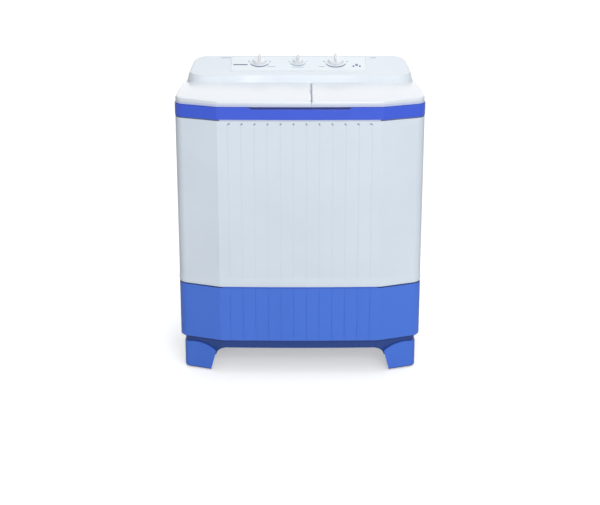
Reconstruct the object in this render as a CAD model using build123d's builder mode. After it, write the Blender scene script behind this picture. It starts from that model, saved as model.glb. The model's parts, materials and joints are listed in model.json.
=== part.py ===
from build123d import *
import math
import os

# Twin tub washing machine: wash tub on the left, spin basket on the right.
# Units are millimetres. Z is up, the front faces -Y and +X is to the right.
# The origin is on the floor under the centre of the machine.

os.makedirs("parts", exist_ok=True)

# ---------------------------------------------------------------- driving dimensions
FRONT_Y = -215.0
REAR_Y = 215.0
FRONT_HALF = 371.3  # half width at the front corners
REAR_HALF = 352.0  # half width at the back
FACET_HALF = 243.0  # half width of the flat front facet
FACET_END_Y = -211.0
CHAMFER_END_Y = -164.0
FRONT_CORNER = 35.0
REAR_CORNER = 42.0

PAD_TOP = 4.0
LEG_TOP = 90.0
SKIRT_BOTTOM = 81.0
BASE_BOTTOM = 110.0
BASE_FLOOR = 115.0
BASE_TOP = 288.0
CABINET_TOP = 808.0
BAND_TOP = 845.0
DECK_TOP = 851.0

BASE_INSET = 1.0
BASE_WALL = 4.0
SKIRT_INSET = 13.0  # at its top, under the band
SKIRT_SLOPE = 10.0  # how far the skirt leans in towards its lower edge
LEG_INSET = 12.0
PAD_INSET = 30.0
CABINET_INSET = 1.5
CABINET_WALL = 3.5
CABINET_INNER = CABINET_INSET + CABINET_WALL
FRAME_INSET = 7.0
FRAME_WALL = 4.0
JOINT_HEIGHT = 4.0  # shadow gap under the band and under the cabinet
JOINT_DEPTH = 2.0

GROOVE_COUNT = 12
GROOVE_PITCH = 38.5
DIMPLE_PITCH = 37.7
GROOVE_WIDTH = 2.6
GROOVE_DEPTH = 1.1

SEAM_X = 34.0
SEAM_GAP = 1.4
LID_INSET = 3.0
LID_BOTTOM = 852.0
LID_RIM = 846.0  # lower edge of the rim that hangs over the deck
DECK_INSET = 6.4  # deck edge behind the lids' rim
LID_CROWN = 866.0
LID_CROWN_Y = -80.0
LID_CROWN_RADIUS = 1822.0
LID_WALL = 2.5
LID_EDGE = 5.0
LID_RIB_LENGTH = 236.0
HINGE_Y = 46.0
HINGE_Z = 853.5
HINGE_ROLL = 8.5
HINGE_ROD = 3.0
HINGE_END_X = 343.0
HINGE_EARS = (-280.0, -40.0, 90.0, 290.0)
RUNNING = 0.06  # radial clearance of a turning shaft in its bore

CONSOLE_TILT = 16.0
FACE_FRONT_Y = 78.0
FACE_FRONT_Z = 877.0
KNOB_Y = 162.6
KNOB_X = (-127.0, -6.6, 112.0)
DIAL_RADIUS = (33.0, 27.0, 36.0)
CONSOLE_WALL = 3.0
PANEL_THICK = 1.2
INLET_X = -262.0
INLET_Z = 880.0
INLET_BACK_Y = 211.5
INLET_FLANGE = 2.5

WASH_X = -166.0
WASH_Y = -41.0
TUB_LEFT = -338.0
TUB_RIGHT = 8.0
TUB_FRONT = -180.0
TUB_REAR = 110.0
TUB_FLOOR = 400.0
TUB_WALL = 3.0
TUB_CORNER = 70.0
TUB_DRAFT = 12.0  # how far the tub walls lean in between rim and floor

SPIN_X = 197.0
SPIN_Y = -60.0
SPIN_TUB_RADIUS = 138.0
BASKET_RADIUS = 117.0
BASKET_BOTTOM = 428.0
BASKET_TOP = 800.0
MOUTH_RADIUS = 88.0

MOTOR_X = -60.0
MOTOR_Y = 80.0
PULLEY_RADIUS = 95.0
MOTOR_PULLEY_RADIUS = 24.0
GROOVE_FLOOR = 9.0
BELT_Z = 309.0
BELT_HEIGHT = 7.0
BELT_THICK = 7.0
BELT_CLEAR = 0.3
SHAFT_RADIUS = 8.0
WASH_SHAFT_LOW = 296.0
WASH_SHAFT_TOP = 434.0
SPIN_SHAFT_LOW = 306.0
SPIN_SHAFT_TOP = 437.0

VALVE_X = 20.0
VALVE_Y = 140.0
VALVE_RADIUS = 22.0
VALVE_LOW = 232.0
VALVE_HIGH = 366.0
VALVE_WALL = 3.0
SEAT_Z = 260.0
OUTLET_Z = 246.0
OVERFLOW_X = -20.0
OVERFLOW_Z = 780.0
SPIN_DRAIN_X = SPIN_X - 77
SPIN_DRAIN_Y = SPIN_Y + 80


# ---------------------------------------------------------------- shared shapes
def plan_outline(inset=0.0):
    """Plan of the machine: front facet, two angled panels and sides tapering to the rear."""
    with BuildSketch() as plan:
        with BuildLine():
            ThreePointArc((-FACET_HALF, FACET_END_Y), (0, FRONT_Y), (FACET_HALF, FACET_END_Y))
            Polyline(
                (FACET_HALF, FACET_END_Y),
                (FRONT_HALF, CHAMFER_END_Y),
                (REAR_HALF, REAR_Y),
                (-REAR_HALF, REAR_Y),
                (-FRONT_HALF, CHAMFER_END_Y),
                (-FACET_HALF, FACET_END_Y),
            )
        make_face()
        fillet(plan.vertices().group_by(Axis.Y)[-1], REAR_CORNER)
        fillet(plan.vertices().filter_by(lambda v: abs(abs(v.X) - FRONT_HALF) < 0.1), FRONT_CORNER)
        if inset:
            offset(amount=-inset, kind=Kind.INTERSECTION, mode=Mode.REPLACE)
    return plan.sketch


def plan_ring(inset, wall):
    """Ring that follows the plan outline."""
    with BuildSketch() as ring:
        add(plan_outline(inset))
        add(plan_outline(inset + wall), mode=Mode.SUBTRACT)
    return ring.sketch


def shadow_gap(inset, top):
    """Cutter for a shallow recess around a shell, just under the next shell's edge."""
    with BuildPart() as cutter:
        with BuildSketch(Plane.XY.offset(top - JOINT_HEIGHT)):
            add(plan_ring(inset - 5, JOINT_DEPTH + 5))
        extrude(amount=JOINT_HEIGHT)
    return cutter.part


def facet_y(x):
    """Y of the slightly bowed front facet at a given X."""
    return FRONT_Y + (FACET_END_Y - FRONT_Y) * (x / FACET_HALF) ** 2


def row_x(pitch):
    """X of each feature in a centred row on the front facet."""
    return [(i - (GROOVE_COUNT - 1) / 2) * pitch for i in range(GROOVE_COUNT)]


def front_grooves(inset, bottom, top):
    """Cutters for the vertical grooves of the front facet."""
    height = top - bottom
    with BuildPart() as cutters:
        for x in row_x(GROOVE_PITCH):
            with Locations((x, facet_y(x) + inset, bottom + height / 2)):
                Box(GROOVE_WIDTH, 2 * GROOVE_DEPTH, height)
    return cutters.part


def face_plane(x, lift=0.0):
    """Plane on the sloping console face: local Z leaves the face, local Y climbs it."""
    tilt = math.radians(CONSOLE_TILT)
    z = FACE_FRONT_Z + (KNOB_Y - FACE_FRONT_Y) * math.tan(tilt)
    plane = Plane(origin=(x, KNOB_Y, z), x_dir=(1, 0, 0), z_dir=(0, -math.sin(tilt), math.cos(tilt)))
    return plane.offset(lift)


def axial_plane(x, y):
    """Upright plane through a vertical axis: local X is the radius, local Y is the height."""
    return Plane(origin=(x, y, 0), x_dir=(1, 0, 0), z_dir=(0, -1, 0))


def trough_notch():
    """Room that the tub rims leave for the hinge trough of the top frame."""
    with BuildPart() as notch:
        with Locations((0, (TROUGH_FRONT + TROUGH_REAR) / 2, BAND_TOP)):
            Box(
                2 * FRONT_HALF,
                TROUGH_REAR - TROUGH_FRONT + 2 * TROUGH_WALL + 1,
                2 * (BAND_TOP - TROUGH_FLOOR + TROUGH_WALL) + 1,
            )
    return notch.part


def pipe(points, radius, outer, inner):
    """Open pipe along a path of straight runs and bends."""
    with BuildPart() as tube:
        with BuildLine() as path:
            FilletPolyline(*points, radius=radius)
        with BuildSketch(Plane(origin=path.line @ 0, z_dir=path.line % 0)):
            Circle(outer)
            Circle(inner, mode=Mode.SUBTRACT)
        sweep()
    return tube.part


def save(part, name):
    """Name a finished piece and write its file."""
    part.label = name
    export_step(part, f"parts/{name}.step")


# ---------------------------------------------------------------- base and feet
LEG_INNER_BOTTOM = 276.0
LEG_INNER_TOP = 259.0
LEG_SHOULDER = 68.0  # height of the leg's inner edge where the hump begins
LEG_CROWN_X = 310.0
LEG_OUTER_TOP = 80.0
LEG_DEPTH = 100.0
POCKET_SIZE = 40.0
POCKET_TOP = 70.0
POST_SIZE = 56.0
POST_LOW = 76.0
FOOT_X = 304.0
FOOT_Y = 150.0
PAD_WIDTH = 46.0
PAD_DEPTH = 60.0
LEG_WALL = 7.0
SKIRT_WALL = 4.0
SKIRT_LOW = 52.0
SKIRT_CURVE = 34.0
ARCH_HALF_X = 260.0
ARCH_HALF_Y = 112.0
OUTLET_HOLE = 24.0
GLAND_X = 250.0
GLAND_Z = 200.0
GLAND_HOLE = 9.0
GLAND_FLANGE = 3.5

with BuildPart() as base:
    # moulded band with a floor
    with BuildSketch(Plane.XY.offset(BASE_BOTTOM)):
        add(plan_outline(BASE_INSET))
    extrude(amount=BASE_TOP - BASE_BOTTOM)
    chamfer(base.edges().group_by(Axis.Z)[0], 3.0)
    with BuildSketch(Plane.XY.offset(BASE_FLOOR)):
        add(plan_outline(BASE_INSET + BASE_WALL))
    extrude(amount=BASE_TOP - BASE_FLOOR, mode=Mode.SUBTRACT)
    # recessed skirt under the band, arched between the legs
    with BuildSketch(Plane.XY.offset(SKIRT_LOW)):
        add(plan_outline(SKIRT_INSET + SKIRT_SLOPE))
    with BuildSketch(Plane.XY.offset(BASE_BOTTOM)):
        add(plan_outline(SKIRT_INSET))
    loft(ruled=True)
    with BuildSketch(Plane.XY.offset(SKIRT_LOW)):
        add(plan_outline(SKIRT_INSET + SKIRT_SLOPE + SKIRT_WALL))
    with BuildSketch(Plane.XY.offset(BASE_BOTTOM)):
        add(plan_outline(SKIRT_INSET + SKIRT_WALL))
    loft(ruled=True, mode=Mode.SUBTRACT)
    with BuildSketch(Plane.XZ) as front_arch:
        with Locations((0, SKIRT_BOTTOM - 50)):
            RectangleRounded(2 * ARCH_HALF_X, 100, SKIRT_CURVE)
    extrude(amount=REAR_Y, both=True, mode=Mode.SUBTRACT)
    with BuildSketch(Plane.YZ) as side_arch:
        with Locations((0, SKIRT_BOTTOM - 50)):
            RectangleRounded(2 * ARCH_HALF_Y, 100, SKIRT_CURVE)
    extrude(amount=FRONT_HALF, both=True, mode=Mode.SUBTRACT)

with BuildPart() as leg_plan:
    # what the four legs keep of the machine's plan
    with BuildSketch(Plane.XY.offset(PAD_TOP)):
        add(plan_outline(LEG_INSET))
    extrude(amount=BASE_BOTTOM - PAD_TOP)
    fillet(leg_plan.edges().group_by(Axis.Z)[0], 4.0)

with BuildPart() as legs:
    for y_dir in (-1, 1):
        with BuildSketch(Plane.XZ.offset(-y_dir * (abs(FRONT_Y) - LEG_DEPTH))):
            with BuildLine():
                ThreePointArc(
                    (LEG_INNER_TOP, LEG_SHOULDER),
                    (LEG_CROWN_X, LEG_TOP),
                    (FRONT_HALF, LEG_OUTER_TOP),
                )
                Polyline(
                    (FRONT_HALF, LEG_OUTER_TOP),
                    (FRONT_HALF, PAD_TOP),
                    (LEG_INNER_BOTTOM, PAD_TOP),
                    (LEG_INNER_TOP, LEG_SHOULDER),
                )
            make_face()
            mirror(about=Plane.YZ)
        extrude(amount=-y_dir * LEG_DEPTH)
    add(leg_plan.part, mode=Mode.INTERSECT)
    # each leg is hollow and open underneath
    with BuildSketch(Plane.XY.offset(PAD_TOP)) as pockets:
        for x in (-1, 1):
            for y in (-1, 1):
                with Locations((x * FOOT_X, y * FOOT_Y)):
                    RectangleRounded(POCKET_SIZE, POCKET_SIZE, 8)
        add(plan_outline(LEG_INSET + LEG_WALL), mode=Mode.INTERSECT)
    extrude(amount=POCKET_TOP - PAD_TOP, mode=Mode.SUBTRACT)

with BuildPart() as leg_posts:
    # short posts behind the skirt tie the legs to the floor
    with BuildSketch(Plane.XY.offset(POST_LOW)):
        for x in (-1, 1):
            for y in (-1, 1):
                with Locations((x * FOOT_X, y * FOOT_Y)):
                    Rectangle(POST_SIZE, POST_SIZE)
        add(plan_outline(SKIRT_INSET + SKIRT_SLOPE + 2), mode=Mode.INTERSECT)
    extrude(amount=BASE_BOTTOM + 1 - POST_LOW)

with BuildPart() as base_whole:
    add(base.part)
    add(legs.part)
    add(leg_posts.part)
    add(front_grooves(BASE_INSET, BASE_BOTTOM, BASE_TOP), mode=Mode.SUBTRACT)
    add(shadow_gap(BASE_INSET, BASE_TOP), mode=Mode.SUBTRACT)
    # air slots under both motors
    with BuildSketch(Plane.XY.offset(BASE_BOTTOM)):
        for x, y in ((MOTOR_X, MOTOR_Y), (SPIN_X, SPIN_Y)):
            with Locations((x, y)):
                with GridLocations(0, 13, 1, 6):
                    SlotOverall(84, 6)
    extrude(amount=BASE_FLOOR - BASE_BOTTOM, mode=Mode.SUBTRACT)
    # holes for the drain spigot and the cord gland in the rear wall
    with BuildSketch(Plane.XZ.offset(-REAR_Y)):
        with Locations((VALVE_X, OUTLET_Z)):
            Circle(OUTLET_HOLE)
        with Locations((GLAND_X, GLAND_Z)):
            Circle(GLAND_HOLE)
    extrude(amount=12, mode=Mode.SUBTRACT)
save(base_whole.part, "base")

with BuildPart() as foot_pads:
    for x in (-1, 1):
        for y in (-1, 1):
            with BuildSketch(Plane.XY):
                with Locations((x * FOOT_X, y * FOOT_Y)):
                    RectangleRounded(PAD_WIDTH, PAD_DEPTH, 10)
                add(plan_outline(PAD_INSET), mode=Mode.INTERSECT)
            extrude(amount=PAD_TOP)
    for x in (-1, 1):
        for y in (-1, 1):
            with Locations((x * FOOT_X, y * FOOT_Y, PAD_TOP + 6)):
                Cylinder(11, 12)
save(foot_pads.part, "foot_pads")

# ---------------------------------------------------------------- cabinet and its covers
LIP_TOP = 316.0
LIP_FLARE = 1.8
DIMPLE_Z = CABINET_TOP - 13.0
DIMPLE_RADIUS = 3.2
REAR_WINDOW_HALF = 285.0
REAR_WINDOW_LOW = 340.0
REAR_WINDOW_HIGH = 760.0
GRIP_Z = 730.0
GRIP_Y = 0.0
GRIP_LENGTH = 112.0
GRIP_HEIGHT = 34.0
GRIP_DEPTH = 17.0

with BuildPart() as cabinet:
    with BuildSketch(Plane.XY.offset(BASE_TOP)):
        add(plan_outline(CABINET_INSET))
    extrude(amount=CABINET_TOP - BASE_TOP)
    # flared lip around the lower edge
    with BuildSketch(Plane.XY.offset(BASE_TOP + 6)):
        add(plan_outline(CABINET_INSET - LIP_FLARE))
    with BuildSketch(Plane.XY.offset(LIP_TOP)):
        add(plan_outline(CABINET_INSET))
    loft(ruled=True)
    with BuildSketch(Plane.XY.offset(BASE_TOP)):
        add(plan_outline(CABINET_INNER))
    extrude(amount=CABINET_TOP - BASE_TOP, mode=Mode.SUBTRACT)
    add(front_grooves(CABINET_INSET, LIP_TOP, DIMPLE_Z), mode=Mode.SUBTRACT)
    add(shadow_gap(CABINET_INSET, CABINET_TOP), mode=Mode.SUBTRACT)
    for x in row_x(DIMPLE_PITCH):
        with Locations(Location((x, facet_y(x) + CABINET_INSET, DIMPLE_Z), (90, 0, 0))):
            Cylinder(DIMPLE_RADIUS, 3.0, mode=Mode.SUBTRACT)
    # service window in the back
    with BuildSketch(Plane.XZ.offset(-REAR_Y)):
        with Locations((0, (REAR_WINDOW_LOW + REAR_WINDOW_HIGH) / 2)):
            RectangleRounded(2 * REAR_WINDOW_HALF, REAR_WINDOW_HIGH - REAR_WINDOW_LOW, 20)
    extrude(amount=12, mode=Mode.SUBTRACT)
    # hand holds in both sides
    with BuildSketch(Plane.YZ):
        with Locations((GRIP_Y, GRIP_Z)):
            RectangleRounded(GRIP_LENGTH, GRIP_HEIGHT, 12)
    extrude(amount=FRONT_HALF, both=True, mode=Mode.SUBTRACT)
save(cabinet.part, "cabinet")

side_x = FRONT_HALF - (FRONT_HALF - REAR_HALF) * (GRIP_Y - CHAMFER_END_Y) / (REAR_Y - CHAMFER_END_Y)
side_angle = math.degrees(math.atan2(FRONT_HALF - REAR_HALF, REAR_Y - CHAMFER_END_Y))
grip_plane = Plane(
    origin=(side_x - CABINET_INSET, GRIP_Y, GRIP_Z),
    x_dir=(-math.sin(math.radians(side_angle)), math.cos(math.radians(side_angle)), 0),
    z_dir=(math.cos(math.radians(side_angle)), math.sin(math.radians(side_angle)), 0),
)
with BuildPart() as carry_grips:
    # a cup with a rim that lies on the cabinet wall
    with BuildSketch(grip_plane):
        RectangleRounded(GRIP_LENGTH + 12, GRIP_HEIGHT + 12, 16)
    extrude(amount=2.0)
    outer_face = carry_grips.faces().sort_by(Axis(grip_plane.origin, grip_plane.z_dir))[-1]
    chamfer(outer_face.edges(), 1.0)
    with BuildSketch(grip_plane):
        RectangleRounded(GRIP_LENGTH - 1, GRIP_HEIGHT - 1, 11.5)
    extrude(amount=-GRIP_DEPTH)
    with BuildSketch(grip_plane.offset(2.0)):
        RectangleRounded(GRIP_LENGTH - 7, GRIP_HEIGHT - 7, 9)
    extrude(amount=-GRIP_DEPTH, mode=Mode.SUBTRACT)
    mirror(about=Plane.YZ)
save(carry_grips.part, "carry_grips")

COVER_MARGIN = 14.0
COVER_THICK = 1.5
cabinet_back_y = REAR_Y - CABINET_INSET
cover_width = 2 * (REAR_WINDOW_HALF + COVER_MARGIN)
cover_height = REAR_WINDOW_HIGH - REAR_WINDOW_LOW + 2 * COVER_MARGIN
cover_z = (REAR_WINDOW_LOW + REAR_WINDOW_HIGH) / 2
screw_x = REAR_WINDOW_HALF + COVER_MARGIN / 2
screw_z = (REAR_WINDOW_HIGH - REAR_WINDOW_LOW) / 2 - 10
screw_points = [(x, cover_z + z) for x in (-screw_x, screw_x) for z in (-screw_z, 0, screw_z)]
screw_points += [(0, cover_z + z * (cover_height / 2 - COVER_MARGIN / 2)) for z in (-1, 1)]

with BuildPart() as rear_cover:
    with BuildSketch(Plane.XZ.offset(-cabinet_back_y)):
        with Locations((0, cover_z)):
            RectangleRounded(cover_width, cover_height, 18)
    extrude(amount=-COVER_THICK)
    # stiffening panel pressed inwards
    with BuildSketch(Plane.XZ.offset(-cabinet_back_y)):
        with Locations((0, cover_z)):
            RectangleRounded(2 * REAR_WINDOW_HALF - 24, cover_height - 60, 16)
    extrude(amount=4.0)
    with BuildSketch(Plane.XZ.offset(-cabinet_back_y - COVER_THICK)):
        with Locations((0, cover_z)):
            RectangleRounded(2 * REAR_WINDOW_HALF - 28, cover_height - 64, 14)
    extrude(amount=4.0, mode=Mode.SUBTRACT)
    # ventilation slots and screw holes
    with BuildSketch(Plane.XZ.offset(-REAR_Y)):
        for x in (-150, 150):
            with Locations((x, cover_z - 110)):
                with GridLocations(0, 14, 1, 8):
                    SlotOverall(150, 5)
        with Locations(*screw_points):
            Circle(2.2)
    extrude(amount=12, mode=Mode.SUBTRACT)
save(rear_cover.part, "rear_cover")

with BuildPart() as rear_cover_screws:
    with BuildSketch(Plane.XZ.offset(-cabinet_back_y - COVER_THICK)):
        with Locations(*screw_points):
            Circle(4.2)
    extrude(amount=-1.4)
    fillet(rear_cover_screws.faces().group_by(Axis.Y)[-1].edges(), 0.9)
    with BuildSketch(Plane.XZ.offset(-cabinet_back_y - COVER_THICK)):
        with Locations(*screw_points):
            Circle(2.0)
    extrude(amount=COVER_THICK)
    with BuildSketch(Plane.XZ.offset(-REAR_Y)):
        with Locations(*screw_points):
            Rectangle(5.0, 0.9)
            Rectangle(0.9, 5.0)
    extrude(amount=1.0, mode=Mode.SUBTRACT)
save(rear_cover_screws.part, "rear_cover_screws")

# ---------------------------------------------------------------- trim band and top frame
BAND_FLARE = 0.5
SCOOP_HALF = 152.0
SCOOP_DEPTH = 7.5
SCOOP_RAMP = 16.0
SCOOP_REACH = 5.4  # depth of the scoop behind the front facet
TROUGH_FRONT = 36.0
TROUGH_REAR = 56.5
TROUGH_FLOOR = 841.0
TROUGH_WALL = 3.0
EAR_WIDTH = 10.0
EAR_RADIUS = 5.5
DECK_WINDOW_HALF = 300.0
DECK_WINDOW_Y = 157.0
DECK_WINDOW_DEPTH = 78.0
WASH_MOUTH = (-330.0, 0.0, -172.0, 28.0)
MOUTH_CORNER = 56.0


def finger_scoop():
    """Cutter for the shallow scoop in the front of the band, under the lids."""
    with BuildPart() as cutter:
        with BuildSketch(Plane.XZ.offset(-FRONT_Y + 1)) as profile:
            with BuildLine():
                Polyline(
                    (-SCOOP_HALF, BAND_TOP),
                    (-SCOOP_HALF + SCOOP_RAMP, BAND_TOP - SCOOP_DEPTH),
                    (SCOOP_HALF - SCOOP_RAMP, BAND_TOP - SCOOP_DEPTH),
                    (SCOOP_HALF, BAND_TOP),
                    (-SCOOP_HALF, BAND_TOP),
                )
            make_face()
            fillet(profile.vertices().group_by(Axis.Y)[0], 12.0)
        extrude(amount=-SCOOP_REACH - 1)
    return cutter.part


with BuildPart() as trim_band:
    with BuildSketch(Plane.XY.offset(CABINET_TOP)):
        add(plan_outline(BAND_FLARE))
    with BuildSketch(Plane.XY.offset(BAND_TOP)):
        add(plan_outline())
    loft(ruled=True)
    with BuildSketch(Plane.XY.offset(CABINET_TOP)):
        add(plan_outline(FRAME_INSET))
    extrude(amount=BAND_TOP - CABINET_TOP, mode=Mode.SUBTRACT)
    add(finger_scoop(), mode=Mode.SUBTRACT)
save(trim_band.part, "trim_band")

with BuildPart() as top_frame:
    # narrow deck under the lids' rim, full width behind the hinge
    with BuildSketch(Plane.XY.offset(BAND_TOP)):
        add(plan_outline(CABINET_INSET))
        with Locations((0, FRONT_Y)):
            Rectangle(3 * FRONT_HALF, 2 * (HINGE_Y - FRONT_Y), mode=Mode.SUBTRACT)
        add(plan_outline(DECK_INSET))
    extrude(amount=DECK_TOP - BAND_TOP)
    with BuildSketch(Plane.XY.offset(CABINET_TOP - 12)):
        add(plan_ring(FRAME_INSET, FRAME_WALL))
    extrude(amount=BAND_TOP - CABINET_TOP + 12)
    # hinge trough behind both mouths
    with Locations((0, (TROUGH_FRONT + TROUGH_REAR) / 2, (TROUGH_FLOOR + BAND_TOP) / 2 - TROUGH_WALL / 2)):
        Box(
            2 * (HINGE_END_X + 2 + TROUGH_WALL),
            TROUGH_REAR - TROUGH_FRONT + 2 * TROUGH_WALL,
            BAND_TOP - TROUGH_FLOOR + TROUGH_WALL,
        )
    with Locations((0, (TROUGH_FRONT + TROUGH_REAR) / 2, (TROUGH_FLOOR + DECK_TOP) / 2)):
        Box(
            2 * (HINGE_END_X + 2),
            TROUGH_REAR - TROUGH_FRONT,
            DECK_TOP - TROUGH_FLOOR,
            mode=Mode.SUBTRACT,
        )
    # mouths of the wash tub and the spin tub, and the window under the console
    with BuildSketch(Plane.XY.offset(BAND_TOP)):
        with Locations(((WASH_MOUTH[0] + WASH_MOUTH[1]) / 2, (WASH_MOUTH[2] + WASH_MOUTH[3]) / 2)):
            RectangleRounded(WASH_MOUTH[1] - WASH_MOUTH[0], WASH_MOUTH[3] - WASH_MOUTH[2], MOUTH_CORNER)
        with Locations((SPIN_X, SPIN_Y)):
            Circle(MOUTH_RADIUS + 2)
        with Locations((0, DECK_WINDOW_Y)):
            RectangleRounded(2 * DECK_WINDOW_HALF, DECK_WINDOW_DEPTH, 12)
    extrude(amount=DECK_TOP - BAND_TOP, mode=Mode.SUBTRACT)
    # collar that guides water back into the spin tub
    with BuildSketch(Plane.XY.offset(BAND_TOP - 14)):
        with Locations((SPIN_X, SPIN_Y)):
            Circle(MOUTH_RADIUS + 4.4)
            Circle(MOUTH_RADIUS + 2, mode=Mode.SUBTRACT)
    extrude(amount=14)
    # hinge ears
    for x in HINGE_EARS:
        with BuildSketch(Plane.YZ.offset(x - EAR_WIDTH / 2)):
            with Locations((HINGE_Y, HINGE_Z)):
                Circle(EAR_RADIUS)
            with Locations((HINGE_Y, (TROUGH_FLOOR + HINGE_Z) / 2)):
                Rectangle(6, HINGE_Z - TROUGH_FLOOR)
        extrude(amount=EAR_WIDTH)
        with Locations(Location((x, HINGE_Y, HINGE_Z), (0, 90, 0))):
            Cylinder(HINGE_ROD, EAR_WIDTH + 1, mode=Mode.SUBTRACT)
save(top_frame.part, "top_frame")

# ---------------------------------------------------------------- lids
rod_spans = ((-HINGE_END_X, SEAM_X - 2), (SEAM_X + 2, HINGE_END_X))

with BuildPart() as lid_hinge_rods:
    for start, end in rod_spans:
        with Locations(Location(((start + end) / 2, HINGE_Y, HINGE_Z), (0, 90, 0))):
            Cylinder(HINGE_ROD, end - start)
save(lid_hinge_rods.part, "lid_hinge_rods")


def lid_block(inset, drop, left, right):
    """Crowned slab between two X positions, from the lid's lower edge up to its crown."""
    with BuildPart() as block:
        with BuildSketch(Plane.XY.offset(LID_BOTTOM)):
            add(plan_outline(inset))
            with Locations(((left + right) / 2, (FRONT_Y + HINGE_Y) / 2)):
                Rectangle(right - left, HINGE_Y - FRONT_Y, mode=Mode.INTERSECT)
        extrude(amount=LID_CROWN - LID_BOTTOM)
        crown_centre = LID_CROWN - LID_CROWN_RADIUS
        with Locations(Location((0, LID_CROWN_Y, crown_centre), (0, 90, 0))):
            Cylinder(LID_CROWN_RADIUS - drop, 2 * FRONT_HALF, mode=Mode.INTERSECT)
    return block.part


def lid_ribs(left, right):
    """Three cross ribs that grow out of the shell's underside."""
    with BuildPart() as ribs:
        with BuildSketch(Plane.XY.offset(LID_BOTTOM + 4)):
            for i in (1, 2, 3):
                with Locations((left + (right - left) * i / 4, LID_CROWN_Y - 5)):
                    Rectangle(2, LID_RIB_LENGTH)
        extrude(amount=LID_CROWN - LID_BOTTOM)
        add(lid_block(LID_INSET + 1, 1, left, right), mode=Mode.INTERSECT)
    return ribs.part


def make_lid(left, right, span, ears):
    """One lid: a crowned shell with a rolled rear edge that turns on the hinge rod."""
    inner_left = left + LID_WALL
    inner_right = right - LID_WALL
    with BuildPart() as lid:
        add(lid_block(LID_INSET, 0, left, right))
        top_edges = lid.faces().sort_by(Axis.Z)[-1].edges()
        fillet(top_edges.filter_by(lambda e: e.center().Y < HINGE_Y - 1), LID_EDGE)
        # rim that hangs over the deck on the outer sides
        with BuildSketch(Plane.XY.offset(LID_RIM)):
            add(plan_ring(LID_INSET, LID_WALL))
            with Locations(((left + right) / 2, (FRONT_Y + HINGE_Y) / 2)):
                Rectangle(right - left, HINGE_Y - FRONT_Y, mode=Mode.INTERSECT)
        extrude(amount=LID_BOTTOM + 1 - LID_RIM)
        add(lid_block(LID_INSET + LID_WALL, LID_WALL, inner_left, inner_right), mode=Mode.SUBTRACT)
        start, end = span
        with Locations(Location(((start + end) / 2, HINGE_Y, HINGE_Z), (0, 90, 0))):
            Cylinder(HINGE_ROLL, end - start)
            Cylinder(HINGE_ROD + RUNNING, end - start, mode=Mode.SUBTRACT)
        # beyond the roll the rear corner stops short of the hinge line
        outer = left if abs(left) > abs(right) else right
        side = math.copysign(1, outer)
        with Locations((side * (HINGE_END_X + 20), HINGE_Y, HINGE_Z)):
            Box(40, 4, 30, mode=Mode.SUBTRACT)
        for x in ears:
            with Locations(Location((x, HINGE_Y, HINGE_Z), (0, 90, 0))):
                Cylinder(EAR_RADIUS + 1, EAR_WIDTH + 1.5, mode=Mode.SUBTRACT)
            with Locations((x, HINGE_Y + 5, HINGE_Z - 2.5)):
                Box(EAR_WIDTH + 1.5, 10, 15, mode=Mode.SUBTRACT)
            with Locations((x, HINGE_Y - 2.5, HINGE_Z - 5)):
                Box(EAR_WIDTH + 1.5, 5, 10, mode=Mode.SUBTRACT)
        add(lid_ribs(left, right))
    return lid.part


wash_lid = make_lid(-FRONT_HALF, SEAM_X - SEAM_GAP / 2, rod_spans[0], HINGE_EARS[:2])
save(wash_lid, "wash_lid")
spin_lid = make_lid(SEAM_X + SEAM_GAP / 2, FRONT_HALF, rod_spans[1], HINGE_EARS[2:])
save(spin_lid, "spin_lid")

# ---------------------------------------------------------------- console
CONSOLE_MID_Y = 72.0  # front foot of the console at the centre
CONSOLE_DIP = 14.0  # how far the foot swells forward near both ends
CONSOLE_DIP_X = 262.0
CONSOLE_TOP = 925.0
CONSOLE_CORNER = 42.0
CONSOLE_SHOULDER_DIP = 4.0
CONSOLE_END_STEP = 22.0  # how far the front foot curves back at both ends
# half width at the front, half width at the back and rear Y of the console's three sections
CONSOLE_FOOT = (350.0, 344.0, 211.0)
CONSOLE_SHOULDER = (345.0, 337.0, 209.0)
CONSOLE_CROWN = (333.0, 324.0, 206.0)


def console_section(mid_y, dip, size, inset):
    """Plan section of the console, with a front edge that swells forward near both ends."""
    half_front = size[0] - inset
    half_rear = size[1] - inset
    rear_y = size[2] - inset
    front_y = mid_y + inset
    end_y = front_y + CONSOLE_END_STEP
    with BuildSketch() as section:
        with BuildLine():
            Spline(
                (-half_front, end_y),
                (-half_front + 26, front_y - dip + 6),
                (-CONSOLE_DIP_X, front_y - dip),
                (-CONSOLE_DIP_X / 2, front_y - 0.1 * dip),
                (0, front_y),
                (CONSOLE_DIP_X / 2, front_y - 0.1 * dip),
                (CONSOLE_DIP_X, front_y - dip),
                (half_front - 26, front_y - dip + 6),
                (half_front, end_y),
            )
            FilletPolyline(
                (half_front, end_y),
                (half_rear, rear_y),
                (-half_rear, rear_y),
                (-half_front, end_y),
                radius=CONSOLE_CORNER - inset,
            )
        make_face()
    return section.sketch


def console_block(inset, drop):
    """Console body from the deck to its sloping face."""
    with BuildPart() as block:
        with BuildSketch(Plane.XY.offset(DECK_TOP)):
            add(console_section(CONSOLE_MID_Y, CONSOLE_DIP, CONSOLE_FOOT, inset))
        with BuildSketch(Plane.XY.offset(FACE_FRONT_Z)):
            add(console_section(FACE_FRONT_Y, CONSOLE_SHOULDER_DIP, CONSOLE_SHOULDER, inset))
        with BuildSketch(Plane.XY.offset(CONSOLE_TOP)):
            add(console_section(FACE_FRONT_Y + 4, CONSOLE_SHOULDER_DIP, CONSOLE_CROWN, inset))
        loft(ruled=True)
        with BuildSketch(face_plane(0, -drop)):
            Rectangle(900, 500)
        extrude(amount=120, mode=Mode.SUBTRACT)
    return block.part


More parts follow.
